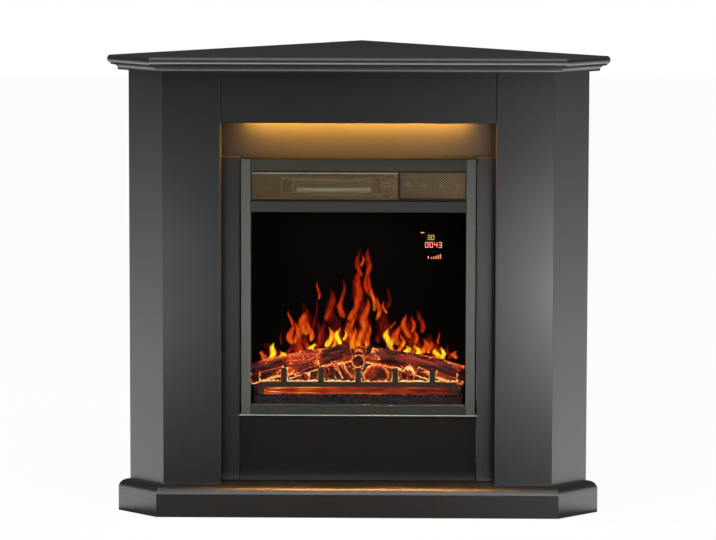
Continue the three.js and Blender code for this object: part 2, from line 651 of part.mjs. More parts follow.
// ---------------------------------------------------------------- insert: ember bed and logs
const BED_LIP = 37; // height of the front ledge that the grate stands on
const BED_LEDGE = 14; // depth of that ledge
const BED_CREST = 56; // height of the embers behind the ledge
const BED_MOUND = 36; // rise of the embers to the back and the middle
const BED_LOW = CASE_LOW + SHEET + SEAM;
const BED_FRONT = FRAME_DEPTH + 2;
const BED_BACK = SCREEN_Y - SEAM;
const BED_HALF = CASE_INNER - 7.5;
const GRATE_SLOT = 15.5; // height of the glowing slot between the grate's legs
const GRATE_BAR = 9.5;
const GRATE_FINGER = 28; // height of a finger above the bar
const GRATE_FINGERS = 5;
const GRATE_PITCH = (2 * BED_HALF) / (GRATE_FINGERS + 0.64);

/** Height of the embers: a mound that rises to the back and the middle, broken by low lumps. */
function bedHeight(x, y) {
  const across = Math.cos((HALF_TURN * x) / (2 * BED_HALF)) ** 2;
  const along = Math.sin((HALF_TURN * (y - BED_FRONT)) / (2 * (BED_BACK - BED_FRONT)));
  const lumps = 2.4 * Math.sin(x / 8.5) * Math.cos(y / 7) * across;
  return BED_CREST + BED_MOUND * across * along + lumps;
}

function bedGeometry() {
  const columns = 36;
  const depths = 8;
  const crest = BED_FRONT + BED_LEDGE;
  const sectionAt = (x) => [
    [BED_FRONT, BED_LOW],
    [BED_BACK, BED_LOW],
    ...Array.from({ length: depths + 1 }, (_, i) => {
      const y = BED_BACK - ((BED_BACK - crest) * i) / depths;
      return [y, bedHeight(x, y)];
    }),
    [crest, BED_LIP],
    [BED_FRONT, BED_LIP],
  ];
  const rings = Array.from({ length: columns + 1 }, (_, i) => {
    const x = -BED_HALF + (2 * BED_HALF * i) / columns;
    return sectionAt(x).map(([y, z]) => [x, y, z]);
  });
  return skin(rings, sectionAt(BED_HALF));
}

/** A knotty log from one point to another: each ring swells and dips with the bark. */
function log(from, to, radiusFrom, radiusTo, knots) {
  const start = new THREE.Vector3(...from);
  const axis = new THREE.Vector3(...to).sub(start);
  const along = axis.clone().normalize();
  const up = new THREE.Vector3(0, 0, 1);
  const across = new THREE.Vector3().crossVectors(up, along).normalize();
  const rise = new THREE.Vector3().crossVectors(along, across);
  const sides = 12;
  const steps = 8;
  const rings = Array.from({ length: steps + 1 }, (_, i) => {
    const t = i / steps;
    const radius = THREE.MathUtils.lerp(radiusFrom, radiusTo, t) * (1 + 0.07 * Math.sin(knots * t * 6));
    const sag = 4 * Math.sin(knots + 5 * t) - 4 * Math.sin(knots);
    return circle(0, 0, radius, sides).map(([a, b], k) => {
      const bark = 1 + 0.06 * Math.sin(3 * k + knots * (1 + t));
      const point = start.clone().addScaledVector(axis, t);
      point.addScaledVector(across, a * bark).addScaledVector(rise, b * bark + sag);
      return point.toArray();
    });
  });
  return skin(rings, circle(0, 0, 1, sides));
}

function buildFire() {
  const bed = bedGeometry();
  add(insert, "ember_bed", bed, castResin);

  // Each log is cut by the bed it lies on, so that it beds into the embers.
  const seat = solid(bed).translate([0, 0, SEAM]);
  const lay = (name, ...shape) =>
    add(insert, name, geometryOf(solid(log(...shape)).subtract(seat)), castResin);
  const end = BED_HALF - 8;
  lay("log_left", [-end, 50, 76], [-30, 66, 112], 22, 19, 1.3);
  lay("log_right", [end, 48, 74], [30, 68, 108], 21, 18, 2.1);
  lay("log_centre", [-2, 34, 88], [4, BED_BACK - 10, 108], 15, 14, 0.6);

  // The grate: a bar on two legs with tapered fingers, ahead of the embers.
  const barLow = BED_LIP + GRATE_SLOT;
  const barHigh = barLow + GRATE_BAR;
  const tip = barHigh + GRATE_FINGER;
  const legIn = BED_HALF - 20;
  const legOut = BED_HALF - 8;
  const round = 7;
  const finger = [[6, barHigh], [5.4, tip - 2], [4, tip], [-4, tip], [-5.4, tip - 2], [-6, barHigh]];
  const fingers = Array.from({ length: GRATE_FINGERS }, (_, i) => {
    const x = ((GRATE_FINGERS - 1) / 2 - i) * GRATE_PITCH;
    return finger.map(([across, z]) => [x + across, z]);
  });
  const outline = [
    [-legOut, BED_LIP + SEAM],
    [-legIn, BED_LIP + SEAM],
    ...arc(round - legIn, barLow - round, round, round, 180, 90, 4),
    ...arc(legIn - round, barLow - round, round, round, 90, 0, 4),
    [legIn, BED_LIP + SEAM],
    [legOut, BED_LIP + SEAM],
    [legOut - 4, barHigh],
    ...fingers.flat(),
    [4 - legOut, barHigh],
  ];
  add(insert, "ember_grate", stand(outline, BED_FRONT + 3, BED_FRONT + 9), castResin);

  const screen = rectangle(-CASE_INNER, CASE_INNER, BED_LOW, DECK_Z - SEAM);
  add(insert, "flame_screen", stand(screen, SCREEN_Y, SCREEN_Y + SCREEN_THICKNESS), flameCloth);
}

// ---------------------------------------------------------------- insert: flame spindle
const TAB_TURN = 140; // degrees from one tab to the next
const MOTOR_BORE_DEPTH = 10;

function buildSpindle() {
  const motorX = CASE_INNER - 26;
  const start = -CASE_HALF - 2;
  const reach = motorX - start + MOTOR_BORE_DEPTH - 2;
  const rod = solid(turnX(shaft(SHAFT_RADIUS, 0, reach), start, SPINDLE_Y, SPINDLE_Z, 12));
  const firstTab = 12 - CASE_HALF;
  const pitch = (motorX - 18 - firstTab) / SPINDLE_TABS;
  const leaf = ribbon([[0, 0], [7, 1.5], [13, 4.5], [18, 9]], 1);
  const tabs = Array.from({ length: SPINDLE_TABS }, (_, i) => {
    const tab = carry(leaf, 0, pitch - 4).rotateX(THREE.MathUtils.degToRad(i * TAB_TURN));
    return solid(tab.translate(firstTab + i * pitch, SPINDLE_Y, SPINDLE_Z));
  });
  const spindle = tabs.reduce((body, tab) => body.add(tab), rod);
  add(insert, "flame_spindle", geometryOf(spindle), galvanised);

  const bore = SHAFT_RADIUS + SEAM;
  const length = CASE_INNER - motorX;
  const motor = [
    [0, MOTOR_BORE_DEPTH], [bore, MOTOR_BORE_DEPTH], [bore, 0], [8, 0], [8, 3],
    [22, 3], [23, 4], [23, length], [0, length],
  ];
  add(insert, "spindle_motor", turnX(motor, motorX, SPINDLE_Y, SPINDLE_Z, 24), galvanised);

  // The light board stands on two folded feet under the spindle.
  const half = CASE_INNER - 34;
  const front = SPINDLE_Y - TAB_REACH;
  const back = SPINDLE_Y + TAB_REACH;
  const foot = 4;
  const board = BED_LOW + 8;
  const profile = [
    [front, BED_LOW], [front + foot, BED_LOW], [front + foot, board], [back - foot, board],
    [back - foot, BED_LOW], [back, BED_LOW], [back, board + 2], [front, board + 2],
  ];
  add(insert, "light_board", carry(profile, -half, half), laminate);
}

// ---------------------------------------------------------------- insert: blower and heater
const BLOWER_LEFT = 59 - OPENING_HALF;
const BLOWER_Y = CASE_FRONT + 73.7;
const BLOWER_Z = DECK_Z + 42;
const BLADE_THICKNESS = 0.9;
const WHEEL_DISC = 2; // thickness of the wheel's end discs
const SCROLL_CLEARANCE = 3; // between the wheel and the scroll where it starts
const BLOWER_MOTOR_LENGTH = 34;
const BLOWER_MOTOR_RADIUS = 21;
const DUCT_LOW = DECK_Z + 22;
const DUCT_HIGH = DUCT_LOW + 31;
const WHEEL_LEFT = BLOWER_LEFT + 2 * SHEET;
const WHEEL_RIGHT = FLAP_LEFT - BLOWER_MOTOR_LENGTH - 3.6;
const HEATER_MARGIN = 18; // between the heater and the duct's end plates

/** The wheel: curved blades between two discs, with a stub shaft at each end and none between. */
function wheelGeometry() {
  const inner = 0.64 * IMPELLER_RADIUS;
  const outer = IMPELLER_RADIUS - 0.5;
  const chord = Array.from({ length: 5 }, (_, i) => {
    const radius = inner + ((outer - inner) * i) / 4;
    const swing = 0.34 * Math.sin((HALF_TURN * i) / 8) - 0.1 * i;
    return [radius * Math.cos(swing), radius * Math.sin(swing)];
  });
  const section = ribbon(chord, BLADE_THICKNESS);
  const blades = Array.from({ length: BLADES }, (_, i) => {
    const blade = carry(section, WHEEL_LEFT + WHEEL_DISC / 2, WHEEL_RIGHT - WHEEL_DISC / 2);
    return blade.rotateX((2 * HALF_TURN * i) / BLADES);
  });
  const disc = shaft(IMPELLER_RADIUS, 0, WHEEL_DISC);
  const inBearing = 6;
  const inMotor = SHEET + 3 * SEAM + MOTOR_BORE_DEPTH;
  return joined(
    ...blades,
    turnX(disc, WHEEL_LEFT, 0, 0, 24),
    turnX(disc, WHEEL_RIGHT - WHEEL_DISC, 0, 0, 24),
    turnX(shaft(SHAFT_RADIUS, -inBearing, 1), WHEEL_LEFT, 0, 0, 12),
    turnX(shaft(SHAFT_RADIUS, -1, inMotor), WHEEL_RIGHT, 0, 0, 12),
  ).translate(0, BLOWER_Y, BLOWER_Z);
}

/** A deck across the case, two end plates, the duct floor that sweeps round under the wheel as a
 * widening scroll, and the duct roof that ends in a rolled tongue. */
function housingGeometry() {
  const plateRight = WHEEL_RIGHT + SHEET;
  const mouth = CASE_FRONT + 10;
  const deck = rectangle(-CASE_INNER, CASE_INNER, CASE_FRONT, CASE_BACK);
  const bore = circle(BLOWER_Y, BLOWER_Z, SHAFT_RADIUS + SEAM);
  const plate = rectangle(mouth - 2, BLOWER_Y + IMPELLER_RADIUS + 20, DECK_Z + 1, CASE_HIGH - SHEET - 2);
  const scroll = Array.from({ length: 13 }, (_, i) => {
    const angle = THREE.MathUtils.degToRad(-105 + i * 12.5);
    const radius = IMPELLER_RADIUS + SCROLL_CLEARANCE + i * 0.55;
    return [BLOWER_Y + radius * Math.cos(angle), BLOWER_Z + radius * Math.sin(angle)];
  });
  const entry = BLOWER_Y - IMPELLER_RADIUS - 6;
  const floor = ribbon([[mouth, DUCT_LOW], [entry, DUCT_LOW], ...scroll], SHEET);
  const tongue = arc(entry - 4, DUCT_HIGH + 7, 7, 7, -90, 60, 6);
  const roof = ribbon([[mouth, DUCT_HIGH], ...tongue], SHEET);
  const from = BLOWER_LEFT + SHEET / 2;
  const to = plateRight + SHEET / 2;
  return joined(
    raise(deck, DECK_Z, DECK_Z + SHEET),
    carry(plate, BLOWER_LEFT, BLOWER_LEFT + SHEET, [bore]),
    carry(plate, plateRight, plateRight + SHEET, [bore]),
    carry(floor, from, to),
    carry(roof, from, to),
  );
}

function blowerMotorGeometry() {
  const x = WHEEL_RIGHT + 2 * SHEET + SEAM;
  const r = BLOWER_MOTOR_RADIUS;
  const bore = SHAFT_RADIUS + SEAM;
  const drum = [
    [0, MOTOR_BORE_DEPTH + 4], [bore, MOTOR_BORE_DEPTH + 4], [bore, 0], [r - 2, 0],
    [r, 2], [r, BLOWER_MOTOR_LENGTH - 2], [r - 2, BLOWER_MOTOR_LENGTH], [0, BLOWER_MOTOR_LENGTH],
  ];
  const saddle = rectangle(BLOWER_Y - 15, BLOWER_Y + 15, DECK_Z + SHEET + SEAM, BLOWER_Z - 0.75 * r);
  return joined(
    turnX(drum, x, BLOWER_Y, BLOWER_Z, 24),
    carry(saddle, x + 4, x + BLOWER_MOTOR_LENGTH - 4),
  );
}

/** A ceramic heating element with upright fins, in the mouth of the duct. */
function heaterGeometry() {
  const left = WHEEL_LEFT + HEATER_MARGIN;
  const right = WHEEL_RIGHT - HEATER_MARGIN;
  const low = DUCT_LOW + SHEET / 2 + SEAM;
  const high = DUCT_HIGH - SHEET / 2 - SEAM;
  const front = CASE_FRONT + 20;
  const depth = 12;
  const rim = 4;
  const fin = 1.2;
  const fins = 32;
  const pitch = (right - left - 2 * rim) / fins;
  const gaps = Array.from({ length: fins }, (_, i) => {
    const x = left + rim + i * pitch;
    const gap = rectangle(x + fin / 2, x + pitch - fin / 2, low + rim, high - rim);
    return stand(gap, front - 1, front + depth + 1);
  });
  return cut(stand(rectangle(left, right, low, high), front, front + depth), ...gaps);
}

/** The circuit board on four pillars, with its transformer, relays and capacitor. */
function circuitBoardGeometry() {
  const low = DECK_Z + SHEET + SEAM;
  const left = FLAP_LEFT + 30;
  const right = CASE_INNER - 8;
  const front = PANEL_Y + 30;
  const back = CASE_BACK - 24;
  const under = low + 4;
  const top = under + 1.6;
  const edge = 6;
  const feet = [left + edge, right - edge].flatMap((x) =>
    [front + edge, back - edge].map((y) => raise(circle(x, y, 3, 8), low, under + 1)));
  const block = (x, y, width, depth, height) =>
    raise(rectangle(left + x, left + x + width, front + y, front + y + depth), top - 1, top + height);
  return joined(
    raise(rectangle(left, right, front, back), under, top),
    ...feet,
    block(10, 40, 34, 32, 26), // transformer
    block(54, 12, 18, 16, 15), // relay
    block(54, 44, 18, 16, 15), // relay
    raise(circle(left + 24, front + 20, 7, 12), top - 1, top + 20), // capacitor
  );
}

function buildBlower() {
  add(insert, "blower_impeller", wheelGeometry(), blackPlastic);
  add(insert, "blower_housing", housingGeometry(), galvanised);
  add(insert, "blower_motor", blowerMotorGeometry(), galvanised);
  add(insert, "heater_element", heaterGeometry(), galvanised);
  add(insert, "circuit_board", circuitBoardGeometry(), laminate);
}

buildShelf();
buildBase();
buildPillars();
buildRecess();
buildFrame();
drillStile();
buildOutlet();
buildFlap();
buildControls();
buildDisplay();
buildCase();
buildFire();
buildSpindle();
buildBlower();

// ---------------------------------------------------------------- placing
// The insert's trim frame stands a little proud of the stiles. The whole part's origin is on the
// floor, midway between the shelf's nose and the back corner.
insert.position.set(0, RECESS - FRAME_PROUD, FRAME_BOTTOM);
root.position.set(0, (SHELF_OVERHANG - WALL_SUM) / 2, 0);
root.add(mantel, insert);

export default root;
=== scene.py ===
# %% [markdown]
# # A corner fireplace in black satin paint
# The mantel stands in the corner of a room and holds a glazed electric fire. The CAD model gives
# every board, rail and motor its true size. This file adds what CAD leaves out: paint, metal and
# glass, a fine wire grille, charred logs, embers, flames, a lit display and the small screws.
#
# Each step says what the piece is on the real object, how it could be made, and why it is made the
# way it is here. Lengths are in metres, and the floor is z = 0.

# %% Load the fixed model
import math

import bpy
import numpy as np
from mathutils import Matrix, Vector


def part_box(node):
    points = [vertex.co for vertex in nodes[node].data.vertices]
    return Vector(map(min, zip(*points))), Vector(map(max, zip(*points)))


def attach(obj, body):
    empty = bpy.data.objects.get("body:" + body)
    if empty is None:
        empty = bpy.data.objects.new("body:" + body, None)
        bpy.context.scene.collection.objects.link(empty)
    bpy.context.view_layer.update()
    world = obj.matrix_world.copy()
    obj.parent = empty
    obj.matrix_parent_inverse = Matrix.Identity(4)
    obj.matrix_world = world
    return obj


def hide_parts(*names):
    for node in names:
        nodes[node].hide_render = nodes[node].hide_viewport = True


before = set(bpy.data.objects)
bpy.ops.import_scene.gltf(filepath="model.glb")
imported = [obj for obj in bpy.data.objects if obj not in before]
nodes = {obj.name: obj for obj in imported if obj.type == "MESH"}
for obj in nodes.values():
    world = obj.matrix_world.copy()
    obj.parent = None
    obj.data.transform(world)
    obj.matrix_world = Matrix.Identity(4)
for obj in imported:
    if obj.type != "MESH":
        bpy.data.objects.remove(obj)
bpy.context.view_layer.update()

# %% [markdown]
# ## Colours and shader nodes
# A colour is easiest to read as the hex value that a paint chart shows. Shaders add up light, so
# they need it in linear form. A shader is a graph of nodes, and one function that adds a node with
# its settings and its wires keeps each finish short enough to read.

# %% Linear colours, and one helper for nodes
def linear(colour):
    """Linear RGBA of an sRGB hex colour: each channel c becomes ((c + 0.055) / 1.055) ** 2.4."""
    c = np.array([int(colour[i:i + 2], 16) for i in (1, 3, 5)]) / 255
    light = np.where(c <= 0.04045, c / 12.92, ((c + 0.055) / 1.055) ** 2.4)
    return (*light.tolist(), 1.0)


def node(tree, kind, take=0, settings=None, stops=(), **inputs):
    """Adds a node and returns one of its outputs. An input is named as its socket, with _ for a space,
    or iN for socket number N. Its value is a number, a hex colour, or the output that feeds it. A
    colour ramp gets its stops as pairs of a place from 0 to 1 and a hex colour."""
    made = tree.nodes.new("ShaderNode" + kind)
    for key, value in (settings or {}).items():
        setattr(made, key, value)
    for number, (at, colour) in enumerate(stops):
        ramp = made.color_ramp.elements
        stop = ramp[number] if number < len(ramp) else ramp.new(at)
        stop.position, stop.color = at, linear(colour)
    for key, value in inputs.items():
        numbered = key[0] == "i" and key[1:].isdigit()
        socket = made.inputs[int(key[1:]) if numbered else key.replace("_", " ")]
        if isinstance(value, bpy.types.NodeSocket):
            tree.links.new(value, socket)
        else:
            socket.default_value = linear(value) if isinstance(value, str) else value
    return made.outputs[take] if len(made.outputs) else made


def finish(name):
    """A new material, its empty node tree, and the Object coordinates that its patterns read."""
    material = bpy.data.materials.new(name)
    material.use_nodes = True
    tree = material.node_tree
    tree.nodes.clear()
    return material, tree, node(tree, "TexCoord", "Object")


def grained(name, grain_mm, detail, dark, light, depth, **inputs):
    """A finish whose two colours and bump both follow one noise, grain_mm across."""
    material, tree, where = finish(name)
    grain = node(tree, "TexNoise", Vector=where, Scale=1000 / grain_mm, Detail=detail)
    colours = node(tree, "Mix", 2, COLOURS, i0=grain, i6=dark, i7=light)
    lean = node(tree, "Bump", Height=grain, Distance=depth, Strength=0.5)
    shader = node(tree, "BsdfPrincipled", Base_Color=colours, Normal=lean, **inputs)
    node(tree, "OutputMaterial", Surface=shader)
    return material


COLOURS = {"data_type": "RGBA"}  # a Mix node of colours: inputs 0, 6 and 7, output 2
MULTIPLY = {"operation": "MULTIPLY"}
ADD = {"operation": "ADD"}
MAXIMUM = {"operation": "MAXIMUM"}
SOFT_STEP = {"interpolation_type": "SMOOTHSTEP"}
print("black paint in linear light:", [round(c, 4) for c in linear("#1e1e1f")])

# %% [markdown]
# ## Making a piece
# A surface worked out with numpy is a grid of points: one number runs along the rows, and one along the
# columns. Its faces join each point to its neighbours. Every piece gets its material and the body it moves
# with in the same call, so neither is forgotten.

# %% Grids and pieces
def grid_faces(rows, columns, wrap=False):
    """The quads of a grid, point (r, c) being number r * columns + c. A wrap joins each row's ends."""
    r = np.arange(rows - 1)[:, None] * columns
    c = np.arange(columns if wrap else columns - 1)[None, :]
    c1 = (c + 1) % columns
    corners = (r + c, r + c1, r + columns + c1, r + columns + c)
    return np.stack(np.broadcast_arrays(*corners), -1).reshape(-1, 4)


def round_angles(count):
    """The angles of that many points, evenly round a circle."""
    return np.arange(count) * 2 * math.pi / count


def ringed(rings):
    """Closed forms made of rings: points of shape (forms, rings, points in a ring, 3). Neighbouring
    rings are joined by quads, and a flat face closes each end."""
    n, rows, columns = rings.shape[:3]
    starts = rows * columns * np.arange(n)[:, None]
    faces = (grid_faces(rows, columns, wrap=True)[None] + starts[..., None]).reshape(-1, 4).tolist()
    faces += (starts + np.arange(columns)[::-1]).tolist()
    faces += (starts + (rows - 1) * columns + np.arange(columns)).tolist()
    return rings.reshape(-1, 3), faces


def many(points, faces):
    """Several grids of the same kind, points of shape (n, k, 3), as one list of points and of faces."""
    points = np.asarray(points, float)
    n, k = points.shape[:2]
    return points.reshape(-1, 3), (np.asarray(faces)[None] + k * np.arange(n)[:, None, None]).reshape(-1, 4)


def together(*parts):
    """Pairs of points and faces joined into one pair, each part's faces counted on from the last."""
    starts = np.cumsum([0] + [len(points) for points, _ in parts[:-1]])
    faces = [np.asarray(f) + s for (_, f), s in zip(parts, starts)]
    return np.concatenate([points for points, _ in parts]), np.concatenate(faces)


def piece(name, points, faces, material, slot, body="mantel", crease=35, replaces=(), **values):
    """A mesh object. Edges sharper than crease degrees stay sharp, and values holds named numbers,
    one for each point."""
    mesh = bpy.data.meshes.new(name)
    mesh.from_pydata(np.asarray(points, float).reshape(-1, 3).tolist(), [], [list(f) for f in faces])
    for key, numbers in values.items():
        numbers = np.asarray(numbers, np.float32).ravel()
        mesh.attributes.new(key, "FLOAT", "POINT").data.foreach_set("value", numbers)
    mesh.polygons.foreach_set("use_smooth", np.ones(len(mesh.polygons), bool))
    mesh.set_sharp_from_angle(angle=math.radians(crease))
    mesh.materials.append(material)
    made = bpy.data.objects.new(name, mesh)
    bpy.context.scene.collection.objects.link(made)
    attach(made, body)
    if replaces:
        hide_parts(*replaces)
    return made


def dress(material, *names):
    """Gives a finish to CAD nodes, whose shape stays as it is."""
    for name in names:
        nodes[name].data.materials.clear()
        nodes[name].data.materials.append(material)


BOX_FACES = np.array([[0, 1, 3, 2], [4, 6, 7, 5], [0, 4, 5, 1], [2, 3, 7, 6], [0, 2, 6, 4], [1, 5, 7, 3]])


def bars(starts, ends, side, rise):
    """Straight bars. The eight corners of each are its start and its end, plus or minus the vector
    side, plus or minus the vector rise."""
    a, b = (np.asarray(p, float).reshape(-1, 3) for p in (starts, ends))
    side, rise = (np.broadcast_to(v, a.shape) for v in (side, rise))
    corners = [p + s * side + t * rise for p in (a, b) for s in (-1, 1) for t in (-1, 1)]
    return many(np.stack(corners, 1), BOX_FACES)


print("one bar has", len(BOX_FACES), "faces")

# %% [markdown]
# ## The camera
# The photograph was taken from far away and a little above, so upright edges stay almost parallel.
# The camera's place was found by fitting it to the corners of the mantel. Knowing it also lets a
# point of the picture be carried back onto a plane of the object, which places the flames.

# %% Camera
PICTURE = np.array([716, 540])  # pixels
SENSOR_MM = 36
FOCAL_PX = 3963.4  # focal length in pixels of that picture
EYE = np.array([0.1095, -7.8913, 1.3960])
YAW, PITCH, ROLL = np.radians([-0.818, -6.789, 0.122])

ahead = np.array([np.sin(YAW) * np.cos(PITCH), np.cos(YAW) * np.cos(PITCH), np.sin(PITCH)])
level = np.array([np.cos(YAW), -np.sin(YAW), 0.0])
right = level * np.cos(ROLL) + np.cross(level, ahead) * np.sin(ROLL)
above = np.cross(right, ahead)

lens = bpy.data.cameras.new("camera")
lens.sensor_width = SENSOR_MM
lens.lens = FOCAL_PX / PICTURE[0] * SENSOR_MM
lens.clip_end = 100
camera = bpy.data.objects.new("camera", lens)
turn = Matrix(np.stack([right, above, -ahead], 1).tolist()).to_4x4()
camera.matrix_world = Matrix.Translation(EYE) @ turn
bpy.context.scene.collection.objects.link(camera)
bpy.context.scene.camera = camera
bpy.context.scene.view_settings.view_transform = "Standard"
print("lens, mm:", round(lens.lens, 1))


# %% From the picture back onto a plane
def from_picture(pixels, plane_y):
    """Points of the plane y = plane_y that show at these pixels: the ray from the eye, carried on."""
    off = (np.asarray(pixels, float) - PICTURE / 2) / FOCAL_PX
    ray = ahead + off[..., :1] * right - off[..., 1:] * above
    return EYE + ray * ((plane_y - EYE[1]) / ray[..., 1:2])


print("the picture's middle meets the mantel's front at", from_picture(PICTURE / 2, -0.288).round(3))

# %% [markdown]
# ## Floor and background
# The floor and the background are white to the camera, and also to glossy and transmitted rays. A
# small share of the floor's look is plain matt white in the light of the room, which keeps the
# object's shadow.

# %% White floor and sky
def background_rays(tree):
    """1 for rays that should meet a white background: from the camera, a gloss or a clear glass."""
    seen = [node(tree, "LightPath", f"Is {ray} Ray") for ray in ("Camera", "Glossy", "Transmission")]
    first = node(tree, "Math", 0, MAXIMUM, i0=seen[0], i1=seen[1])
    return node(tree, "Math", 0, MAXIMUM, i0=first, i1=seen[2])


white_floor, tree, _ = finish("matt white studio floor")
matt = node(tree, "BsdfDiffuse", Color="#e9e9e9")
glow = node(tree, "Emission", Color="#ffffff", Strength=1.0)
veil = node(tree, "Math", 0, MULTIPLY, i0=background_rays(tree), i1=0.94)
node(tree, "OutputMaterial", Surface=node(tree, "MixShader", i0=veil, i1=matt, i2=glow))


def studio_sheet(name, corners, material):
    """A flat sheet of four corners that belongs to the studio."""
    mesh = bpy.data.meshes.new(name)
    mesh.from_pydata(corners, [], [(0, 1, 2, 3)])
    mesh.materials.append(material)
    made = bpy.data.objects.new(name, mesh)
    bpy.context.scene.collection.objects.link(made)
    return made


studio_sheet("floor", [(-12, -12, 0), (12, -12, 0), (12, 12, 0), (-12, 12, 0)], white_floor)

world = bpy.data.worlds.new("studio")
bpy.context.scene.world = world
world.use_nodes = True
tree = world.node_tree
tree.nodes.clear()
sky = node(tree, "Background", Color="#ffffff", Strength=0.55)
white = node(tree, "Background", Color="#ffffff", Strength=1.0)
node(tree, "OutputWorld", Surface=node(tree, "MixShader", i0=background_rays(tree), i1=sky, i2=white))
print("floor and sky are white")

# %% [markdown]
# ## Cloth and cards
# Glossy black paint shows mostly what it reflects. A photographer hangs dark cloth round such a
# thing and lets a few white cards show in it. The same is done here, and only reflections see them.
# A card's brightness falls off softly at its edges, as a lit paper screen's does.

# %% Sheets that only reflections see
def reflection_sheet(name, low, high, radiance, soft=0.15, fade=None):
    """A sheet between two corners, flat in the axis where they agree. Its brightness rises over soft
    metres from each edge. fade = (start, end, share) lets it fall to a share of itself along z."""
    low, high = np.array(low, float), np.array(high, float)
    a, b = (axis for axis in range(3) if low[axis] != high[axis])
    corners = np.stack([low, low, high, high])
    corners[1, a], corners[3, a] = high[a], low[a]
    material, tree, where = finish(name + " paper")
    strength = radiance
    for axis in (a, b) if soft else ():
        along = node(tree, "SeparateXYZ", axis, Vector=where)
        for edge, full in ((low[axis], low[axis] + soft), (high[axis], high[axis] - soft)):
            rise = node(tree, "MapRange", 0, SOFT_STEP, Value=along, From_Min=edge, From_Max=full)
            strength = node(tree, "Math", 0, MULTIPLY, i0=strength, i1=rise)
    if fade:
        along = node(tree, "SeparateXYZ", 2, Vector=where)
        fall = node(tree, "MapRange", Value=along, From_Min=fade[0], From_Max=fade[1], To_Min=1.0,
                    To_Max=fade[2])
        strength = node(tree, "Math", 0, MULTIPLY, i0=strength, i1=fall)
    node(tree, "OutputMaterial", Surface=node(tree, "Emission", Color="#ffffff", Strength=strength))
    made = studio_sheet(name, corners.tolist(), material)
    made.visible_camera = made.visible_diffuse = made.visible_shadow = False
    made.visible_volume_scatter = False
    made.visible_transmission = radiance < 1  # a lit card would shine into the firebox
    return made


CLOTHS = (  # name, two corners, radiance, soft edge
    ("cloth_floor", (-3, -3.4, 0.0015), (3, 1.9, 0.0015), 0.04, 0),
    ("cloth_front", (-3, -3.4, 0), (3, -3.4, 3), 0.03, 0),
    ("cloth_back", (-3, 1.9, 0), (3, 1.9, 3), 0.065, 0),
    ("cloth_left", (-3, -3.4, 0), (-3, 1.9, 3), 0.2, 0),
    ("cloth_right", (3, -3.4, 0), (3, 1.9, 3), 0.2, 0),
    ("cloth_top", (-3, -3.4, 3), (3, 1.9, 3), 0.05, 0),
)
studio = {row[0]: reflection_sheet(*row) for row in CLOTHS}
print(len(CLOTHS), "cloths")

# %% White cards
CARDS = (  # name, two corners, radiance, soft edge, and for two of them how they fade along z
    ("card_front_left", (-1.15, -1.75, 0.002), (-0.36, -1.75, 0.49), 6.0, 0.16),
    ("card_front_right", (0.37, -1.75, 0.02), (1.3, -1.75, 0.48), 24.0, 0.18),
    ("card_left", (-1.7, -1.7, 0.002), (-1.7, 0.8, 1.0), 3.0, 0, (0.0, 0.75, 0.07)),
    ("card_right", (1.7, -1.7, 0.002), (1.7, 0.8, 1.0), 3.3, 0, (0.0, 0.75, 0.16)),
    ("card_floor_left", (-1.7, -0.40, 0.003), (-0.46, 0.8, 0.003), 2.9, 0.05),
    ("card_floor_right", (0.46, -0.40, 0.003), (1.7, 0.8, 0.003), 3.3, 0.05),
    ("card_over_front", (-1.6, -2.9, 2.6), (1.6, -0.52, 2.6), 2.2, 0.02),
    ("card_over_back", (-1.6, -0.28, 2.6), (1.6, 0.9, 2.6), 3.0, 0.02),
)
studio |= {row[0]: reflection_sheet(*row) for row in CARDS}
print(len(CARDS), "cards")

# %% [markdown]
# A sheet can also be kept for some pieces, or kept from some. Light linking names them. One low card
# lies on the floor in front and shows only in the rounded edges of the shelf, its mouldings and the
# base board, so that the flat boards stay dark. The trim round the glass has a weaker card of its own
# at the right. The front cards are kept from the apron and the glass, which would look milky. A card
# hides what is behind it from every piece, so none stands before another card.

# %% Links from sheets to pieces
def link_sheet(sheet, names, state):
    """INCLUDE lets a sheet show only in these CAD nodes, EXCLUDE lets it show in all but these."""
    linked = bpy.data.collections.new(sheet.name + " linking")
    for number, name in enumerate(names.split()):
        linked.objects.link(nodes[name])
        linked.collection_objects[number].light_linking.link_state = state
    sheet.light_linking.receiver_collection = linked


TRIM = "frame_stile_right frame_rail_top frame_rail_middle frame_rail_bottom"
EDGES = "shelf_board shelf_moulding_front shelf_moulding_left shelf_moulding_right base_board"
OWN_CARDS = (
    (("card_low", (-1.2, -1.7, 0.004), (1.2, -0.45, 0.004), 7.5, 0.2), EDGES),
    (("card_base", (-0.62, -1.8, 0.004), (0.62, -1.8, 1.7), 4.5, 0.3), "base_board"),
    (("card_trim", (0.12, -1.74, 0.002), (0.30, -1.74, 0.50), 10.5, 0.06), TRIM),
)
for row, names in OWN_CARDS:
    link_sheet(reflection_sheet(*row), names, "INCLUDE")
KEPT_FROM = {
    "card_front_right": TRIM + " apron_panel glass_pane",
    "card_front_left": "apron_panel glass_pane",
    "cloth_floor": "glass_pane",
    "cloth_front": "glass_pane",
}
for name, names in KEPT_FROM.items():
    link_sheet(studio[name], names, "EXCLUDE")


# %% Soft lamps
def soft_lamp(name, at, aim, size, watts, colour="#ffffff", height=None):
    """An area lamp that points from one place to another and shows in no reflection or glass."""
    data = bpy.data.lights.new(name, "AREA")
    data.shape = "RECTANGLE"
    data.size, data.size_y = size, height or size
    data.energy = watts
    data.color = linear(colour)[:3]
    lamp = bpy.data.objects.new(name, data)
    aimed = (Vector(aim) - Vector(at)).to_track_quat("-Z", "Y").to_matrix().to_4x4()
    lamp.matrix_world = Matrix.Translation(at) @ aimed
    lamp.visible_glossy = lamp.visible_transmission = False
    bpy.context.scene.collection.objects.link(lamp)
    return lamp


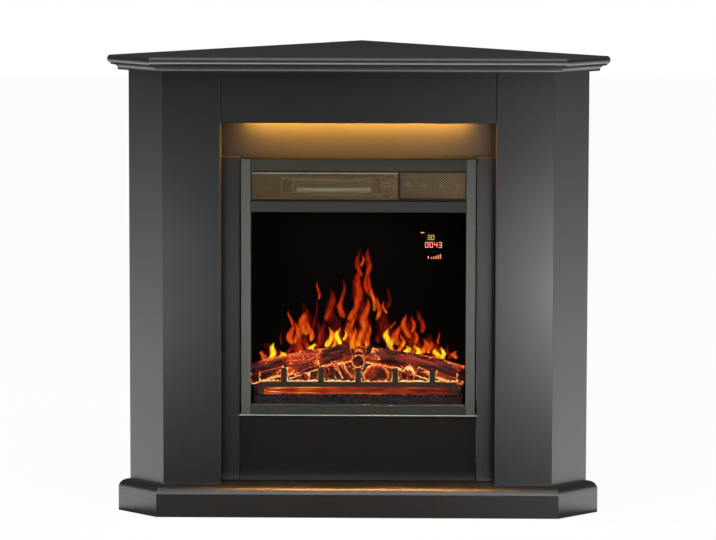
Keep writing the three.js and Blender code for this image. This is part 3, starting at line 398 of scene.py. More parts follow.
soft_lamp("key", (-2.4, -3.2, 3.0), (0, 0, 0.4), 2.2, 95)
soft_lamp("fill", (2.8, -2.8, 1.9), (0, 0, 0.4), 2.2, 55)
print("two lamps")

# %% [markdown]
# # Finishes of the mantel
# The boards are medium-density fibreboard, sprayed with black satin lacquer and rubbed down between
# coats. Sprayed lacquer is never quite flat: it keeps a faint orange peel a few millimetres across,
# and its sheen drifts a little over a board. Dust caught in the last coat leaves paler specks.

# %% Black satin lacquer on fibreboard
def lacquer(name, colour, dust_colour, roughness):
    """Sprayed satin lacquer. Peel is noise 4 mm across, three thousandths of a millimetre deep."""
    material, tree, where = finish(name)
    drift = node(tree, "TexNoise", Vector=where, Scale=1000 / 180, Detail=3.0)  # sheen, 180 mm across
    fine = node(tree, "TexNoise", Vector=where, Scale=1000 / 1.2, Detail=2.0)  # dust nibs
    peel = node(tree, "TexNoise", Vector=where, Scale=1000 / 4, Detail=1.0)  # orange peel
    dust = node(tree, "MapRange", Value=fine, From_Min=0.55, From_Max=0.8, To_Min=0.0, To_Max=0.25)
    colours = node(tree, "Mix", 2, COLOURS, i0=dust, i6=colour, i7=dust_colour)
    sheen = node(tree, "MapRange", 0, SOFT_STEP, Value=drift, From_Min=0.1, From_Max=0.9, To_Min=roughness,
                 To_Max=roughness + 0.05)
    lean = node(tree, "Bump", Height=peel, Distance=0.000003, Strength=0.5)
    shader = node(tree, "BsdfPrincipled", Base_Color=colours, Roughness=sheen, Normal=lean, IOR=1.5)
    node(tree, "OutputMaterial", Surface=shader)
    return material


satin_black = lacquer("satin black lacquer on fibreboard", "#1d1d1e", "#2a2a2b", 0.276)
BOARDS = ("shelf_board shelf_moulding_front shelf_moulding_left shelf_moulding_right pillar_front_left "
          "pillar_front_right return_panel_left return_panel_right pillar_cheek_left pillar_cheek_right "
          "header_panel soffit_board niche_back recess_stile_left recess_stile_right apron_panel "
          "base_board plinth_front plinth_left plinth_right").split()
dress(satin_black, *BOARDS)
print(len(BOARDS), "painted boards")

# %% [markdown]
# The rails, post and shelf that no one sees are left bare. Raw fibreboard is a warm brown with pale
# and dark fibres about half a millimetre long, and it has no gloss.

# %% Raw fibreboard
bare_board, tree, where = finish("raw fibreboard")
fibres = node(tree, "TexNoise", Vector=where, Scale=1000 / 1.5, Detail=4.0)  # drawn three times too long
clouds = node(tree, "TexNoise", Vector=where, Scale=1000 / 60, Detail=2.0)
light = node(tree, "Mix", 2, COLOURS, i0=clouds, i6="#a98a62", i7="#bb9c73")
share = node(tree, "MapRange", Value=fibres, From_Min=0.45, From_Max=0.75, To_Min=0.0, To_Max=0.6)
colours = node(tree, "Mix", 2, COLOURS, i0=share, i6=light, i7="#7d6240")
lean = node(tree, "Bump", Height=fibres, Distance=0.0001, Strength=0.5)
shader = node(tree, "BsdfPrincipled", Base_Color=colours, Roughness=0.85, Normal=lean)
node(tree, "OutputMaterial", Surface=shader)
dress(bare_board, "plinth_rail_left", "plinth_rail_right", "corner_post", "insert_shelf")
print("four bare boards")

# %% [markdown]
# ## The warm light strip
# A strip of small warm diodes lies in a frosted silicone tube behind the header. From below it shows
# as a bright line with a soft spot every 25 mm. A lamp nine tenths as long, just under it, gives the
# light that falls into the niche, and it is the lamp that the polished base board reflects.

# %% Frosted silicone light strip
strip_glow, tree, where = finish("frosted silicone light strip")
across = node(tree, "SeparateXYZ", 0, Vector=where)
phase = node(tree, "Math", 0, MULTIPLY, i0=across, i1=2 * math.pi / 0.025)
wave = node(tree, "Math", 0, {"operation": "COSINE"}, i0=phase)
spots = node(tree, "MapRange", Value=wave, From_Min=-1.0, From_Max=1.0, To_Min=5.0, To_Max=9.0)
shader = node(tree, "BsdfPrincipled", Base_Color="#f6ead2", Roughness=0.5, Emission_Color="#ffcf7a",
              Emission_Strength=spots)
node(tree, "OutputMaterial", Surface=shader)
dress(strip_glow, "light_strip")

low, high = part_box("light_strip")
middle, size = (low + high) / 2, high - low
strip_lamp = soft_lamp("strip lamp", (middle.x, middle.y, low.z - 0.0005), (middle.x, middle.y, 0),
                       0.9 * size.x, 8.4, "#ffb341", size.y)
strip_lamp.visible_glossy = True
strip_lamp.visible_camera = False
print("strip length, mm:", round(1000 * size.x))

# %% [markdown]
# # Finishes of the fire
# The trim round the glass is extruded aluminium, brushed along its length and dyed dark. Brushing leaves
# fine scratches, so the pattern is noise stretched forty times along the bar. The level rails take a darker
# copy of the same finish, and that darker colour is painted shade.

# %% Brushed, dyed aluminium trim
def brushed(name, colour, light_colour, stretch, roughness, metal=1.0):
    """Scratches 0.5 mm apart (drawn at twice the true spacing to show) and a hundredth of a millimetre
    deep, long along one axis."""
    material, tree, where = finish(name)
    drawn = node(tree, "Mapping", Vector=where, Scale=[1 / s for s in stretch])
    scratches = node(tree, "TexNoise", Vector=drawn, Scale=1000 / 0.5, Detail=3.0)
    colours = node(tree, "Mix", 2, COLOURS, i0=scratches, i6=colour, i7=light_colour)
    sheen = node(tree, "MapRange", Value=scratches, From_Min=0.3, From_Max=0.7, To_Min=roughness - 0.06,
                 To_Max=roughness + 0.08)
    lean = node(tree, "Bump", Height=scratches, Distance=0.00001, Strength=0.5)
    shader = node(tree, "BsdfPrincipled", Base_Color=colours, Metallic=metal, Roughness=sheen, Normal=lean)
    node(tree, "OutputMaterial", Surface=shader)
    return material


trim_upright = brushed("brushed aluminium, dyed grey", "#5f605b", "#7c7d77", (1, 1, 40), 0.38)
# The level rails: the same dyed aluminium drawn darker, which is painted shade.
trim_level_shaded = brushed("brushed aluminium, dyed dark grey", "#42453f", "#5c5f59", (40, 1, 1), 0.45)
dress(trim_upright, "frame_stile_left", "frame_stile_right")
dress(trim_level_shaded, "frame_rail_top", "frame_rail_middle", "frame_rail_bottom")
print("five trim bars")


# %% Zinc-coated steel
def zinc_coated(name, colours, crystal_mm, roughness):
    """Hot-dipped zinc freezes into flat crystals. Each Voronoi cell takes one of two greys."""
    material, tree, where = finish(name)
    cell = node(tree, "TexVoronoi", "Color", Vector=where, Scale=1000 / crystal_mm)
    tone = node(tree, "SeparateColor", 0, Color=cell)
    haze = node(tree, "TexNoise", Vector=where, Scale=1000 / 3, Detail=3.0)
    grey = node(tree, "Mix", 2, COLOURS, i0=tone, i6=colours[0], i7=colours[1])
    sheen = node(tree, "MapRange", Value=tone, To_Min=roughness - 0.1, To_Max=roughness + 0.1)
    lean = node(tree, "Bump", Height=haze, Distance=0.00002, Strength=0.4)
    shader = node(tree, "BsdfPrincipled", Base_Color=grey, Metallic=1.0, Roughness=sheen, Normal=lean)
    node(tree, "OutputMaterial", Surface=shader)
    return material


case_steel = zinc_coated("galvanised case steel", ("#8f9496", "#a9aeaf"), 9, 0.42)
bright_steel = zinc_coated("zinc-plated steel", ("#a9a79d", "#c0beb2"), 3, 0.32)
dress(case_steel, "case_left", "case_right", "case_top", "case_bottom", "case_back")
dull_fins = zinc_coated("pressed aluminium fins, dulled by heat", ("#7d776b", "#8f897c"), 3, 0.6)
dress(bright_steel, "flame_spindle", "spindle_motor", "blower_housing", "blower_motor")
dress(dull_fins, "heater_element")
print("ten steel parts")


# %% Moulded plastics
def moulded(name, colour, grain_colour, roughness, grain_mm=0.8):
    """Moulded plastic from an etched tool: a grain under a millimetre across, slightly matt."""
    material, tree, where = finish(name)
    grain = node(tree, "TexNoise", Vector=where, Scale=1000 / grain_mm, Detail=2.0)
    flow = node(tree, "TexNoise", Vector=where, Scale=1000 / 40, Detail=1.0)
    share = node(tree, "Math", 0, MULTIPLY, i0=grain, i1=flow)
    colours = node(tree, "Mix", 2, COLOURS, i0=share, i6=colour, i7=grain_colour)
    sheen = node(tree, "MapRange", Value=grain, To_Min=roughness - 0.08, To_Max=roughness + 0.08)
    lean = node(tree, "Bump", Height=grain, Distance=0.00003, Strength=0.6)
    shader = node(tree, "BsdfPrincipled", Base_Color=colours, Roughness=sheen, Normal=lean, IOR=1.5)
    node(tree, "OutputMaterial", Surface=shader)
    return material


black_abs = moulded("black moulded ABS", "#141415", "#2b2b2d", 0.45)
key_abs = moulded("dark grey moulded key caps", "#26272a", "#3a3b3e", 0.4, 0.5)
dress(black_abs, "control_panel", "cord_gland", "light_driver", "blower_impeller")
dress(key_abs, "button_power", "button_flame", "button_heat", "button_timer")
print("eight plastic parts")

# %% Circuit board laminate
laminate, tree, where = finish("green circuit laminate with traces")
trace = node(tree, "TexBrick", "Fac", {"offset": 0.37, "squash": 0.6}, Vector=where, Scale=1000 / 30,
             Mortar_Size=0.03, Brick_Width=0.35, Row_Height=0.12)
mask = node(tree, "TexNoise", Vector=where, Scale=1000 / 12, Detail=2.0)
colours = node(tree, "Mix", 2, COLOURS, i0=trace, i6="#1c5a33", i7="#2f7a48")
tinted = node(tree, "Mix", 2, COLOURS, i0=mask, i6=colours, i7="#174a2b")
lean = node(tree, "Bump", Height=trace, Distance=0.00004, Strength=0.8)
shader = node(tree, "BsdfPrincipled", Base_Color=tinted, Roughness=0.35, Normal=lean)
node(tree, "OutputMaterial", Surface=shader)
dress(laminate, "circuit_board", "light_board")
print("two circuit boards")

# %% Toughened glass
clear_glass, tree, where = finish("toughened clear glass")
wave = node(tree, "TexNoise", Vector=where, Scale=1000 / 90, Detail=1.0)  # roller wave, 90 mm long
lean = node(tree, "Bump", Height=wave, Distance=0.00002, Strength=0.3)
shader = node(tree, "BsdfPrincipled", Base_Color="#eef1f0", Roughness=0.0, IOR=1.5, Transmission_Weight=1.0,
              Normal=lean)
lamp_ray = node(tree, "LightPath", "Is Shadow Ray")  # glass lets the lamps' light through
through = node(tree, "BsdfTransparent", Color="#e6e9e8")
node(tree, "OutputMaterial", Surface=node(tree, "MixShader", i0=lamp_ray, i1=shader, i2=through))
dress(clear_glass, "glass_pane")

# %% Smoked flame screen
# Smoked plastic with fine frost on it: it has no sheen and is nearly black where no flame shows.
dark_screen = grained("smoked, frosted flame screen", 2, 3.0, "#010101", "#040404", 0.00002,
                      Roughness=0.5, Specular_IOR_Level=0.2)
dress(dark_screen, "flame_screen", "display_module")
print("glass and screen")

# %% [markdown]
# # The wire grille and its flap
# Warm air leaves through a fine woven wire cloth in bronze. Its right end is a flap that drops
# forward over the keys. The real wires cross every 3 mm or so. Each strand here is one thin bar cut
# to the opening, so the holes are real holes and the heater shows through them.

# %% Places inside the fire, and wire cloth
FIRE_CORNER = np.array([0, -187.7107, 192])  # mm, the middle of the fire's bottom front edge


def inside(points):
    """Metres in the shared frame, from millimetres measured from the fire's bottom front edge."""
    return (np.asarray(points, float) + FIRE_CORNER) / 1000


def wire_cloth(x_range, z_range, y, pitch, half_width=0.45, half_depth=0.3):
    """Two families of diagonal strands. A strand is x = c + s * h, where h is the height above the
    lower edge and s is 1 or -1, and it is kept for the h that lie inside both ranges."""
    width, height = x_range[1] - x_range[0], z_range[1] - z_range[0]
    parts = []
    for s, depth in ((1, y - half_depth), (-1, y + half_depth)):
        c = np.arange(-height, width + height, pitch * math.sqrt(2))
        ends = np.sort(np.stack([(0 - c) / s, (width - c) / s]), 0)
        low, high = np.maximum(ends[0], 0), np.minimum(ends[1], height)
        c, low, high = (v[high - low > 0.5 * pitch] for v in (c, low, high))
        points = [np.stack([x_range[0] + c + s * h, np.full_like(c, depth), z_range[0] + h], -1)
                  for h in (low, high)]
        across = np.array([1, 0, -s]) * half_width / math.sqrt(2)
        parts.append(bars(inside(points[0]), inside(points[1]), across / 1000, (0, half_depth / 1000, 0)))
    return together(*parts)


print("the fire's back edge, m:", inside((0, 174, 0)).round(4).tolist())


# %% Rims and rods
def rim(x_range, y_range, z_range, width):
    """Four flat bars round an opening, the upright ones between the level ones."""
    (x0, x1), (y0, y1), (z0, z1), h = x_range, y_range, z_range, width / 2
    y = (y0 + y1) / 2
    thick = (0, (y1 - y0) / 2000, 0)
    level = [inside([(x, y, z0 + h), (x, y, z1 - h)]) for x in (x0, x1)]
    upright = [inside([(x, y, z) for x in (x0 + h, x1 - h)]) for z in (z0 + width, z1 - width)]
    return together(bars(*level, (0, 0, h / 1000), thick), bars(*upright, (h / 1000, 0, 0), thick))


def rod(x_range, y, z, radius, columns=20, ease=0.3):
    """A round bar along x with eased ends: circles of radius r at x, r being small at both ends."""
    (x0, x1), tip = x_range, 0.02
    x = np.array([x0, x0, x0 + ease, x1 - ease, x1, x1])
    r = np.array([tip, radius - ease, radius, radius, radius - ease, tip])
    turn = round_angles(columns)
    ring = np.stack([np.zeros(columns), np.cos(turn), np.sin(turn)], -1)
    centres = np.stack([x, np.full(6, y), np.full(6, z)], -1)
    return ringed(inside(ring[None] * r[:, None, None] + centres[:, None])[None])


print("faces of a rod:", len(rod((0, 10), 0, 0, 1)[1]))

# %% Woven bronze wire and rolled metal
bronze, tree, where = finish("woven bronze wire")
tarnish = node(tree, "TexNoise", Vector=where, Scale=1000 / 14, Detail=3.0)
colours = node(tree, "Mix", 2, COLOURS, i0=tarnish, i6="#745f3f", i7="#99815a")
sheen = node(tree, "MapRange", Value=tarnish, To_Min=0.35, To_Max=0.6)
shader = node(tree, "BsdfPrincipled", Base_Color=colours, Metallic=0.85, Roughness=sheen)
node(tree, "OutputMaterial", Surface=shader)

# Rolled aluminium, pale and only partly metallic. Its light tone is partly a painted highlight, which shows
# the lip, the beads and the heater fins as bright lines.
rolled = brushed("rolled aluminium, pale as a painted highlight", "#a4a49b", "#c0c0b8", (40, 1, 1), 0.3, metal=0.4)
# The rims' near black is partly their dark dye and partly painted shade, the dark gap under the rail.
rim_dye_and_shade = brushed("folded steel, dyed bronze black", "#0f0d0b", "#1f1b17", (30, 1, 1), 0.5, metal=0.5)
print("bronze, and two metals for its edges")

# %% The outlet grille
WIRE_PITCH = 4.0  # mm between strands; drawn a third coarser than the real cloth, so that it shows
OUTLET = {"slot": "bronze_mesh", "replaces": ("outlet_grille",)}
grille = wire_cloth((-209.5, 78), (423, 479), 4.6, WIRE_PITCH)
piece("outlet_wire_cloth", *grille, bronze, **OUTLET)
piece("outlet_rim", *rim((-210.7, 79.7), (3.0, 9.0), (422.3, 479.7), 2.4), rim_dye_and_shade, **OUTLET)
piece("outlet_bead", *rod((-208, 77), 3.2, 476.6, 0.9), rolled, **OUTLET)
# The fins' brightness is partly a painted highlight, from the pale rolled finish.
fin_pack = rod((-121, 24), 27.0, 440.7, 5.5)  # the heater's bright fins, seen through the wire
piece("heater_fins", *fin_pack, rolled, "sheet_metal")
print("grille faces:", len(grille[1]))

# %% The flap with its barrel and pins
FLAP = {"slot": "bronze_mesh", "body": "control_flap", "replaces": ("control_flap",)}
BARREL_Y, BARREL_Z = 5.0, 424.6
flap = wire_cloth((81.5, 209.5), (427, 478.5), 4.2, WIRE_PITCH, half_width=0.34)
piece("flap_wire_cloth", *flap, bronze, **FLAP)
piece("flap_rim", *rim((80.3, 210.7), (3.0, 5.5), (426.2, 479.4), 1.8), rim_dye_and_shade, **FLAP)
piece("flap_bead", *rod((81.5, 209.5), 3.9, 478.4, 0.8), rolled, **FLAP)
piece("flap_barrel", *rod((80.3, 210.7), BARREL_Y, BARREL_Z, 2.0), rim_dye_and_shade, **FLAP)
piece("flap_pins", *rod((78.3, 213.4), BARREL_Y, BARREL_Z, 1.2), bright_steel, **FLAP)
print("flap faces:", len(flap[1]))

# %% [markdown]
# A narrow rolled lip runs along the insert's lower edge, a little brighter than the rail above it. That
# brightness is a painted highlight in its pale, half-diffuse finish.
# Thin black gaskets lie along the rails' edges, above and below the wire, and leave the flap room. Their
# near black is painted shade for the dark gaps there. Their rubber is matt, with the faint grey bloom that
# old rubber gets.

# %% The lip under the frame and the gaskets beside the wire
gasket_rubber_and_shade = grained("black moulded rubber, near black as painted shade", 3, 2.0, "#050505", "#0c0c0c", 0.00002,
                       Roughness=0.9, Specular_IOR_Level=0.2)
# The lip's pale tone is a painted highlight along the insert's lower edge.
lip = rod((-235, 235), 0.6, -1.4, 1.1)
piece("frame_lip", *lip, rolled, "trim_metal")
# The gaskets' near black is painted shade in the gaps beside the wire.
for name, z in (("gasket_high", 480.7), ("gasket_low", 421.7)):
    piece(name, *rod((-210.5, 210.5), 0.3, z, 0.7), gasket_rubber_and_shade, "black_plastic")
print("lip faces:", len(lip[1]))

# %% [markdown]
# # Logs
# The logs are cast in resin from real charred wood, hollow and lit from inside, so that the cracks
# glow. A log is a tube whose radius is pushed in and out by bark, with a closed end at each side.
# Bark is a sum of waves that run mostly round the log, which leaves ridges along it. Where another
# such sum passes through zero there is a crack.

# %% Sums of waves
def waves(u, v, seed, count, turns, swings):
    """A sum of cosines of 2 pi (a u + b v) + c with a whole number a up to turns, so that it closes
    round u, and b up to swings, brought to an even spread of about 1."""
    rng = np.random.default_rng(seed)
    a = rng.integers(1, turns + 1, count) * rng.choice([-1, 1], count)
    b, c = rng.uniform(-swings, swings, count), rng.uniform(0, 2 * math.pi, count)
    total = np.zeros(np.broadcast(u, v).shape)
    for one_a, one_b, one_c in zip(a, b, c):
        total = total + np.cos(2 * math.pi * (one_a * u + one_b * v) + one_c)
    return total / math.sqrt(count / 2)


print("spread of eight waves:", waves(np.linspace(0, 1, 99), 0, 1, 8, 9, 1).std().round(2))


# %% A log made of waves
def log(start, end, radii, seed, sag=0.0, rows=150, columns=96, caps=9, rough=1.0, bulge=2.0,
        rim_glow=(0.6, 0.6), flank_glow=0.3):
    """A barked log between two points in mm. Point (u, v) lies at the axis plus the radius times
    (cos 2 pi u, sin 2 pi u) across it. The radius is that of the plain log, times 1 + ridges - cracks,
    and it closes to a pole over the end rows, which bulge by (1 - share squared). The flanks, where
    the outward direction has little y in it, glow most. Returns points, faces and two values a point."""
    start, end = np.array(start, float), np.array(end, float)
    length = np.linalg.norm(end - start)
    axis = (end - start) / length
    side = np.cross(axis, (0, 0, 1)) if abs(axis[2]) < 0.9 else np.cross(axis, (0, 1, 0))
    side /= np.linalg.norm(side)
    over = np.cross(side, axis)
    closing = np.linspace(0.08, 0.95, caps)
    v = np.concatenate([np.zeros(caps), np.linspace(0, 1, rows), np.ones(caps)])[:, None]
    share = np.concatenate([closing, np.ones(rows), closing[::-1]])[:, None]
    u = (np.arange(columns) / columns)[None, :]
    stretch = length / 60
    ridge = waves(u, v, seed, 26, 11, 1.3 * stretch)
    split = waves(u, v, seed + 1, 16, 5, 1.1 * stretch)
    fine = waves(u, v, seed + 4, 26, 12, 3.4 * stretch)  # a crack lies where split or fine is near zero
    crack = np.maximum(np.exp(-(split / 0.15) ** 2), np.exp(-(fine / 0.10) ** 2))
    knots = waves(u, v, seed + 2, 8, 2, 0.8 * stretch)
    plain = radii[0] + (radii[1] - radii[0]) * v
    near_end = length * np.minimum(v, 1 - v)  # mm
    calm = rough * np.clip(0.3 + near_end / 12, 0, 1)  # sawn ends are rounder
    radius = plain * (1 + calm * (0.045 * ridge + 0.04 * knots - 0.09 * crack)) * share
    angle = 2 * math.pi * u
    centre = start + (end - start) * v[..., None]
    centre[..., 2] -= sag * 4 * v * (1 - v)
    way = np.concatenate([-np.ones(caps), np.zeros(rows), np.ones(caps)])[:, None]
    centre = centre + axis * (bulge * way * (1 - share ** 2))[..., None]
    points = centre + radius[..., None] * (np.cos(angle)[..., None] * side + np.sin(angle)[..., None] * over)
    down = -(np.cos(angle) * side[2] + np.sin(angle) * over[2]) * np.ones_like(radius)
    patches = waves(u, v, seed + 3, 8, 2, 1.2 * stretch)
    # Cracks glow in patches, and the underside is lit by the embers.
    glow = crack * np.clip(0.62 + 0.40 * patches, 0.28, 1) + np.clip((down - 0.5) * 2.0, 0, 0.9)
    glow = np.maximum(glow, 0.40 * np.clip(0.1 + 0.8 * patches, 0, 1))
    facing = np.cos(angle) * side[1] + np.sin(angle) * over[1]
    glow = glow + flank_glow * np.exp(-(facing / 0.5) ** 2) * np.clip(0.7 + 0.5 * patches, 0.1, 1.2)
    at_end = np.where(v < 0.5, rim_glow[0], rim_glow[1])
    glow = glow + at_end * np.exp(-(near_end / 1.3) ** 2)
    end_glow = 0.6 * crack * share + 0.3 * np.clip(0.5 + 0.6 * patches, 0, 1)
    glow = np.where(share < 1, end_glow + at_end * np.exp(-((1 - share) / 0.13) ** 2), glow)
    # The sawn ends carry growth rings, and a glowing edge where the bark ends.
    rings = np.where(share < 1, np.cos(share * 38 + ridge * 0.5), ridge)
    poles = np.stack([start - bulge * axis, end + bulge * axis])
    quads = grid_faces(len(v), columns, wrap=True)[:, ::-1]
    last, ring = len(v) * columns, np.arange(columns)
    fans = np.concatenate([np.stack([np.full(columns, last), ring, np.roll(ring, -1)], 1),
                           np.stack([np.full(columns, last + 1), last - columns + np.roll(ring, -1),
                                     last - columns + ring], 1)])
    points = inside(np.concatenate([points.reshape(-1, 3), poles]))
    values = {"glow": np.append(glow.ravel(), [0.1, 0.1]), "ridge": np.append(rings.ravel(), [0.0, 0.0])}
    return points, [*quads.tolist(), *fans.tolist()], values


left_log = log((-210.5, 48, 74), (-14, 66, 114), (21, 17), 11, sag=-3, rim_glow=(0, 0.6))
print("left log points:", len(left_log[0]))

# %% [markdown]
# Charred bark is near black in its grooves, purple brown on its sides and grey with ash on its
# ridges. The glow comes from lamps behind thin resin, from deep red through orange to pale yellow.
# Two long logs slope down to the sides, and a short one lies front to back on the middle post.

# %% Charred resin bark, glowing in its cracks
GLOW_STOPS = [(0.0, "#000000"), (0.16, "#1c0402"), (0.34, "#6a1406"), (0.55, "#cc3a0a"), (0.78, "#ff8424"),
              (1.0, "#ffd888")]


def charred(name, dark, middle, ash, glow_power):
    """Resin painted as charred wood. The ridge and glow values of each point drive it."""
    material, tree, where = finish(name)
    ridge, glow = (node(tree, "Attribute", "Fac", {"attribute_name": name}) for name in ("ridge", "glow"))
    grit = node(tree, "TexNoise", Vector=where, Scale=1000 / 2.5, Detail=4.0)
    stains = node(tree, "TexNoise", Vector=where, Scale=1000 / 22, Detail=3.0)
    height = node(tree, "MapRange", Value=ridge, From_Min=-1.6, From_Max=1.8)
    uneven = node(tree, "Math", 0, MULTIPLY, i0=height, i1=node(tree, "Math", 0, ADD, i0=grit, i1=0.5))
    bark = node(tree, "ValToRGB", 0, None, [(0.1, dark), (0.45, middle), (0.95, ash)], i0=uneven)
    rust = node(tree, "MapRange", Value=stains, From_Min=0.5, From_Max=0.7, To_Min=0.0, To_Max=0.65)
    painted = node(tree, "Mix", 2, COLOURS, i0=rust, i6=bark, i7="#6a1e0e")
    torn = node(tree, "MapRange", Value=grit, From_Min=0.35, From_Max=0.65, To_Min=0.55, To_Max=1.2)
    heat = node(tree, "Math", 0, MULTIPLY, i0=glow, i1=torn)
    light = node(tree, "ValToRGB", 0, None, GLOW_STOPS, i0=heat)
    lean = node(tree, "Bump", Height=uneven, Distance=0.0012, Strength=0.8)
    shader = node(tree, "BsdfPrincipled", Base_Color=painted, Roughness=0.8, Normal=lean,
                  Emission_Color=light, Emission_Strength=glow_power)
    node(tree, "OutputMaterial", Surface=shader)
    return material


charred_bark = charred("cast resin, painted as charred bark", "#10090c", "#2c1920", "#54424c", 1.35)

right_log = log((210.5, 47, 71), (14, 68, 112), (20, 17), 23, sag=-3, rim_glow=(0, 0.6))
centre_log = log((0, 14.5, 104.5), (4, 106, 108), (13, 14), 37, rows=80, rim_glow=(0.95, 0.95))
LOGS = {"left_log": (left_log, ("log_left",)), "right_log": (right_log, ("log_right",)),
        "centre_log": (centre_log, ("log_centre",))}
for name, ((points, faces, values), stands_for) in LOGS.items():
    piece(name, points, faces, charred_bark, "cast_embers", crease=60, replaces=stands_for, **values)
print("logs:", list(LOGS))

# %% [markdown]
# Shorter pieces lie between the posts of the grate. Their places were read from the photograph: a
# pixel is carried back onto an upright plane just behind the posts.

# %% Short pieces behind the grate
def seen_at(px, py, depth):
    """The point, in mm inside the fire, that shows at a pixel and lies that deep behind the front."""
    plane_y = inside((0, depth, 0))[1]
    return from_picture((px, py), plane_y) * 1000 - FIRE_CORNER


SHORT_PIECES = [  # start and end as pixel x, pixel y and depth; radii; seed; roughness
    ((251, 379, 36), (284, 369, 36), (11, 9), 5, 1.2),
    ((288, 373, 38), (319, 364, 40), (13, 10), 7, 1.2),
    ((305, 377, 28), (306, 373, 52), (9, 9), 9, 1.0),
    ((327, 366, 40), (333, 382, 36), (7, 6), 13, 1.0),
    ((334, 364, 40), (341, 382, 36), (7, 7), 14, 1.0),
    ((341, 365, 40), (349, 382, 36), (7, 6), 15, 1.0),
    ((348, 367, 42), (355, 380, 38), (6, 6), 16, 1.0),
    ((376, 377, 40), (377, 374, 66), (26, 24), 17, 1.0),
    ((407.4, 375.5, 28), (409, 371, 58), (14, 14), 19, 1.0),
    ((417, 371, 36), (433, 377, 34), (9, 8), 21, 1.2),
    ((436, 373, 38), (463, 381, 36), (9, 7), 29, 1.2),
    ((300, 355, 60), (347, 352, 62), (9, 8), 31, 1.2),
    ((372, 352, 58), (420, 362, 52), (9, 8), 41, 1.2),
]
for number, (first, second, radii, seed, rough) in enumerate(SHORT_PIECES):
    points, faces, values = log(seen_at(*first), seen_at(*second), radii, seed, rows=60, columns=64,
                                rough=rough, bulge=0.3 * radii[0], rim_glow=(0.5, 0.5), flank_glow=0.6)
    values["glow"] = np.clip(values["glow"] * 1.15 + 0.08, 0, 1.2)
    piece(f"short_piece_{number + 1}", points, faces, charred_bark, "cast_embers", crease=60, **values)
print("short pieces:", len(SHORT_PIECES))

# %% [markdown]
# # The ember bed
# The bed is one casting painted as coals and ash. It is a height over x and y: the smooth mound of
# the CAD part plus rounded coals. Each coal is the space nearest to its own centre, and the gaps,
# where the two nearest centres are almost as near, are low and glow.

# %% Coals on a mound
def coals(x, y, centres):
    """The distance to the nearest centre and how much farther the second nearest is, in mm."""
    near = np.full(x.shape, 1e9)
    second = near.copy()
    for cx, cy in centres:
        d = np.hypot(x - cx, y - cy)
        second = np.minimum(second, np.maximum(near, d))
        near = np.minimum(near, d)
    return near, second - near


BED_WIDTH = 412  # mm
COALS = 330


def mound(x, y):
    """56 mm, plus a hump of 36 at the middle of the back that falls to nothing at the sides and front."""
    return 56 + 36 * np.cos(math.pi * x / BED_WIDTH) ** 2 * np.sin(math.pi * (y - 14) / 198)


print("the mound's top, mm:", mound(0, 113))

# %% The height and glow of the bed
rng = np.random.default_rng(4)
centres = np.stack([rng.uniform(-205, 205, COALS), rng.uniform(24, 112, COALS)], -1)
x = np.linspace(-BED_WIDTH / 2, BED_WIDTH / 2, 330)[None, :]
FRONT = 18  # rows that climb the front of the ash, at these heights
front = np.linspace(6.5, 32, FRONT)[:, None]
y = np.concatenate([np.linspace(14.6, 19, FRONT), np.linspace(19.4, 28, 22), np.linspace(28.6, 113, 80)])
x, y = np.broadcast_arrays(x, y[:, None])
near, gap = coals(x, y, centres)
ash = 32.5 + 1.6 * np.clip((y - 14) / 3, 0, 1) ** 0.5 + 0.8 * waves(x / BED_WIDTH, y / 60, 3, 14, 40, 3)
rise = 1 / (1 + np.exp(-(y - 25.5) / 0.8))  # from the ash up to the coals
coal = mound(x, y) - 5 + 6 * np.clip(1 - (near / 11) ** 2, 0, 1) ** 0.5 * np.clip(gap / 2.5, 0, 1)
z = ash * (1 - rise) + coal * rise + 0.5 * waves(x / BED_WIDTH, y / 100, 8, 14, 70, 12) * rise
z[:FRONT] = front
streaks = waves(x[:FRONT] / BED_WIDTH, front / 14, 6, 40, 90, 4)
y = y.copy()
y[:FRONT] += 0.5 * streaks.clip(-1, 1)
glow = rise * (np.exp(-(gap / 1.4) ** 2) * 0.95 + 0.12)
glow *= np.clip(1.15 - 0.7 * np.abs(2 * x / BED_WIDTH) ** 2 - 0.45 * (y - 28) / 85, 0, 1.2)
tone = np.where(rise > 0.5, 0.9 - near / 5 + 0.5 * waves(x / BED_WIDTH, y / 60, 5, 12, 60, 8),
                0.1 + 0.8 * waves(x / BED_WIDTH, y / 60, 6, 20, 60, 5))
tone[:FRONT] = 0.1 + 0.8 * streaks

print("bed heights, mm:", z.min().round(1), "to", z.max().round(1))

# %% The bed closed underneath, and painted
top = inside(np.stack([x, y, z], -1).reshape(-1, 3))
rows, columns = x.shape
border = np.concatenate([np.arange(columns), columns * np.arange(1, rows - 1) + columns - 1,
                         columns * (rows - 1) + np.arange(columns)[::-1],
                         columns * np.arange(1, rows - 1)[::-1]])
skirt = top[border].copy()
skirt[:, 2] = inside((0, 0, 5.9))[2]
base = rows * columns + np.arange(len(border))
walls = np.stack([border, base, np.roll(base, -1), np.roll(border, -1)], 1)
points = np.concatenate([top, skirt])
faces = [*grid_faces(rows, columns).tolist(), *walls.tolist(), base[::-1].tolist()]
values = {"glow": np.append(glow.ravel(), np.zeros(len(border))),
          "ridge": np.append(tone.ravel(), tone.ravel()[border])}
ember_paint = charred("cast resin, painted as coals and ash", "#141015", "#332a33", "#5f5664", 1.3)
piece("coals_and_ash", points, faces, ember_paint, "cast_embers", crease=50, replaces=("ember_bed",),
      **values)
print("coals:", len(centres), "points:", len(points))

# %% [markdown]
# # The grate and the glow round it
# The grate is a low casting in front of the coals, a bar with a long slot and five posts. Its CAD
# shape stays. Behind the slot lies a diffuser lit deep orange, brighter at its left, with a paler
# rim. A bright line runs round each opening between the posts, where the lamps under the bed shine
# past its edge.

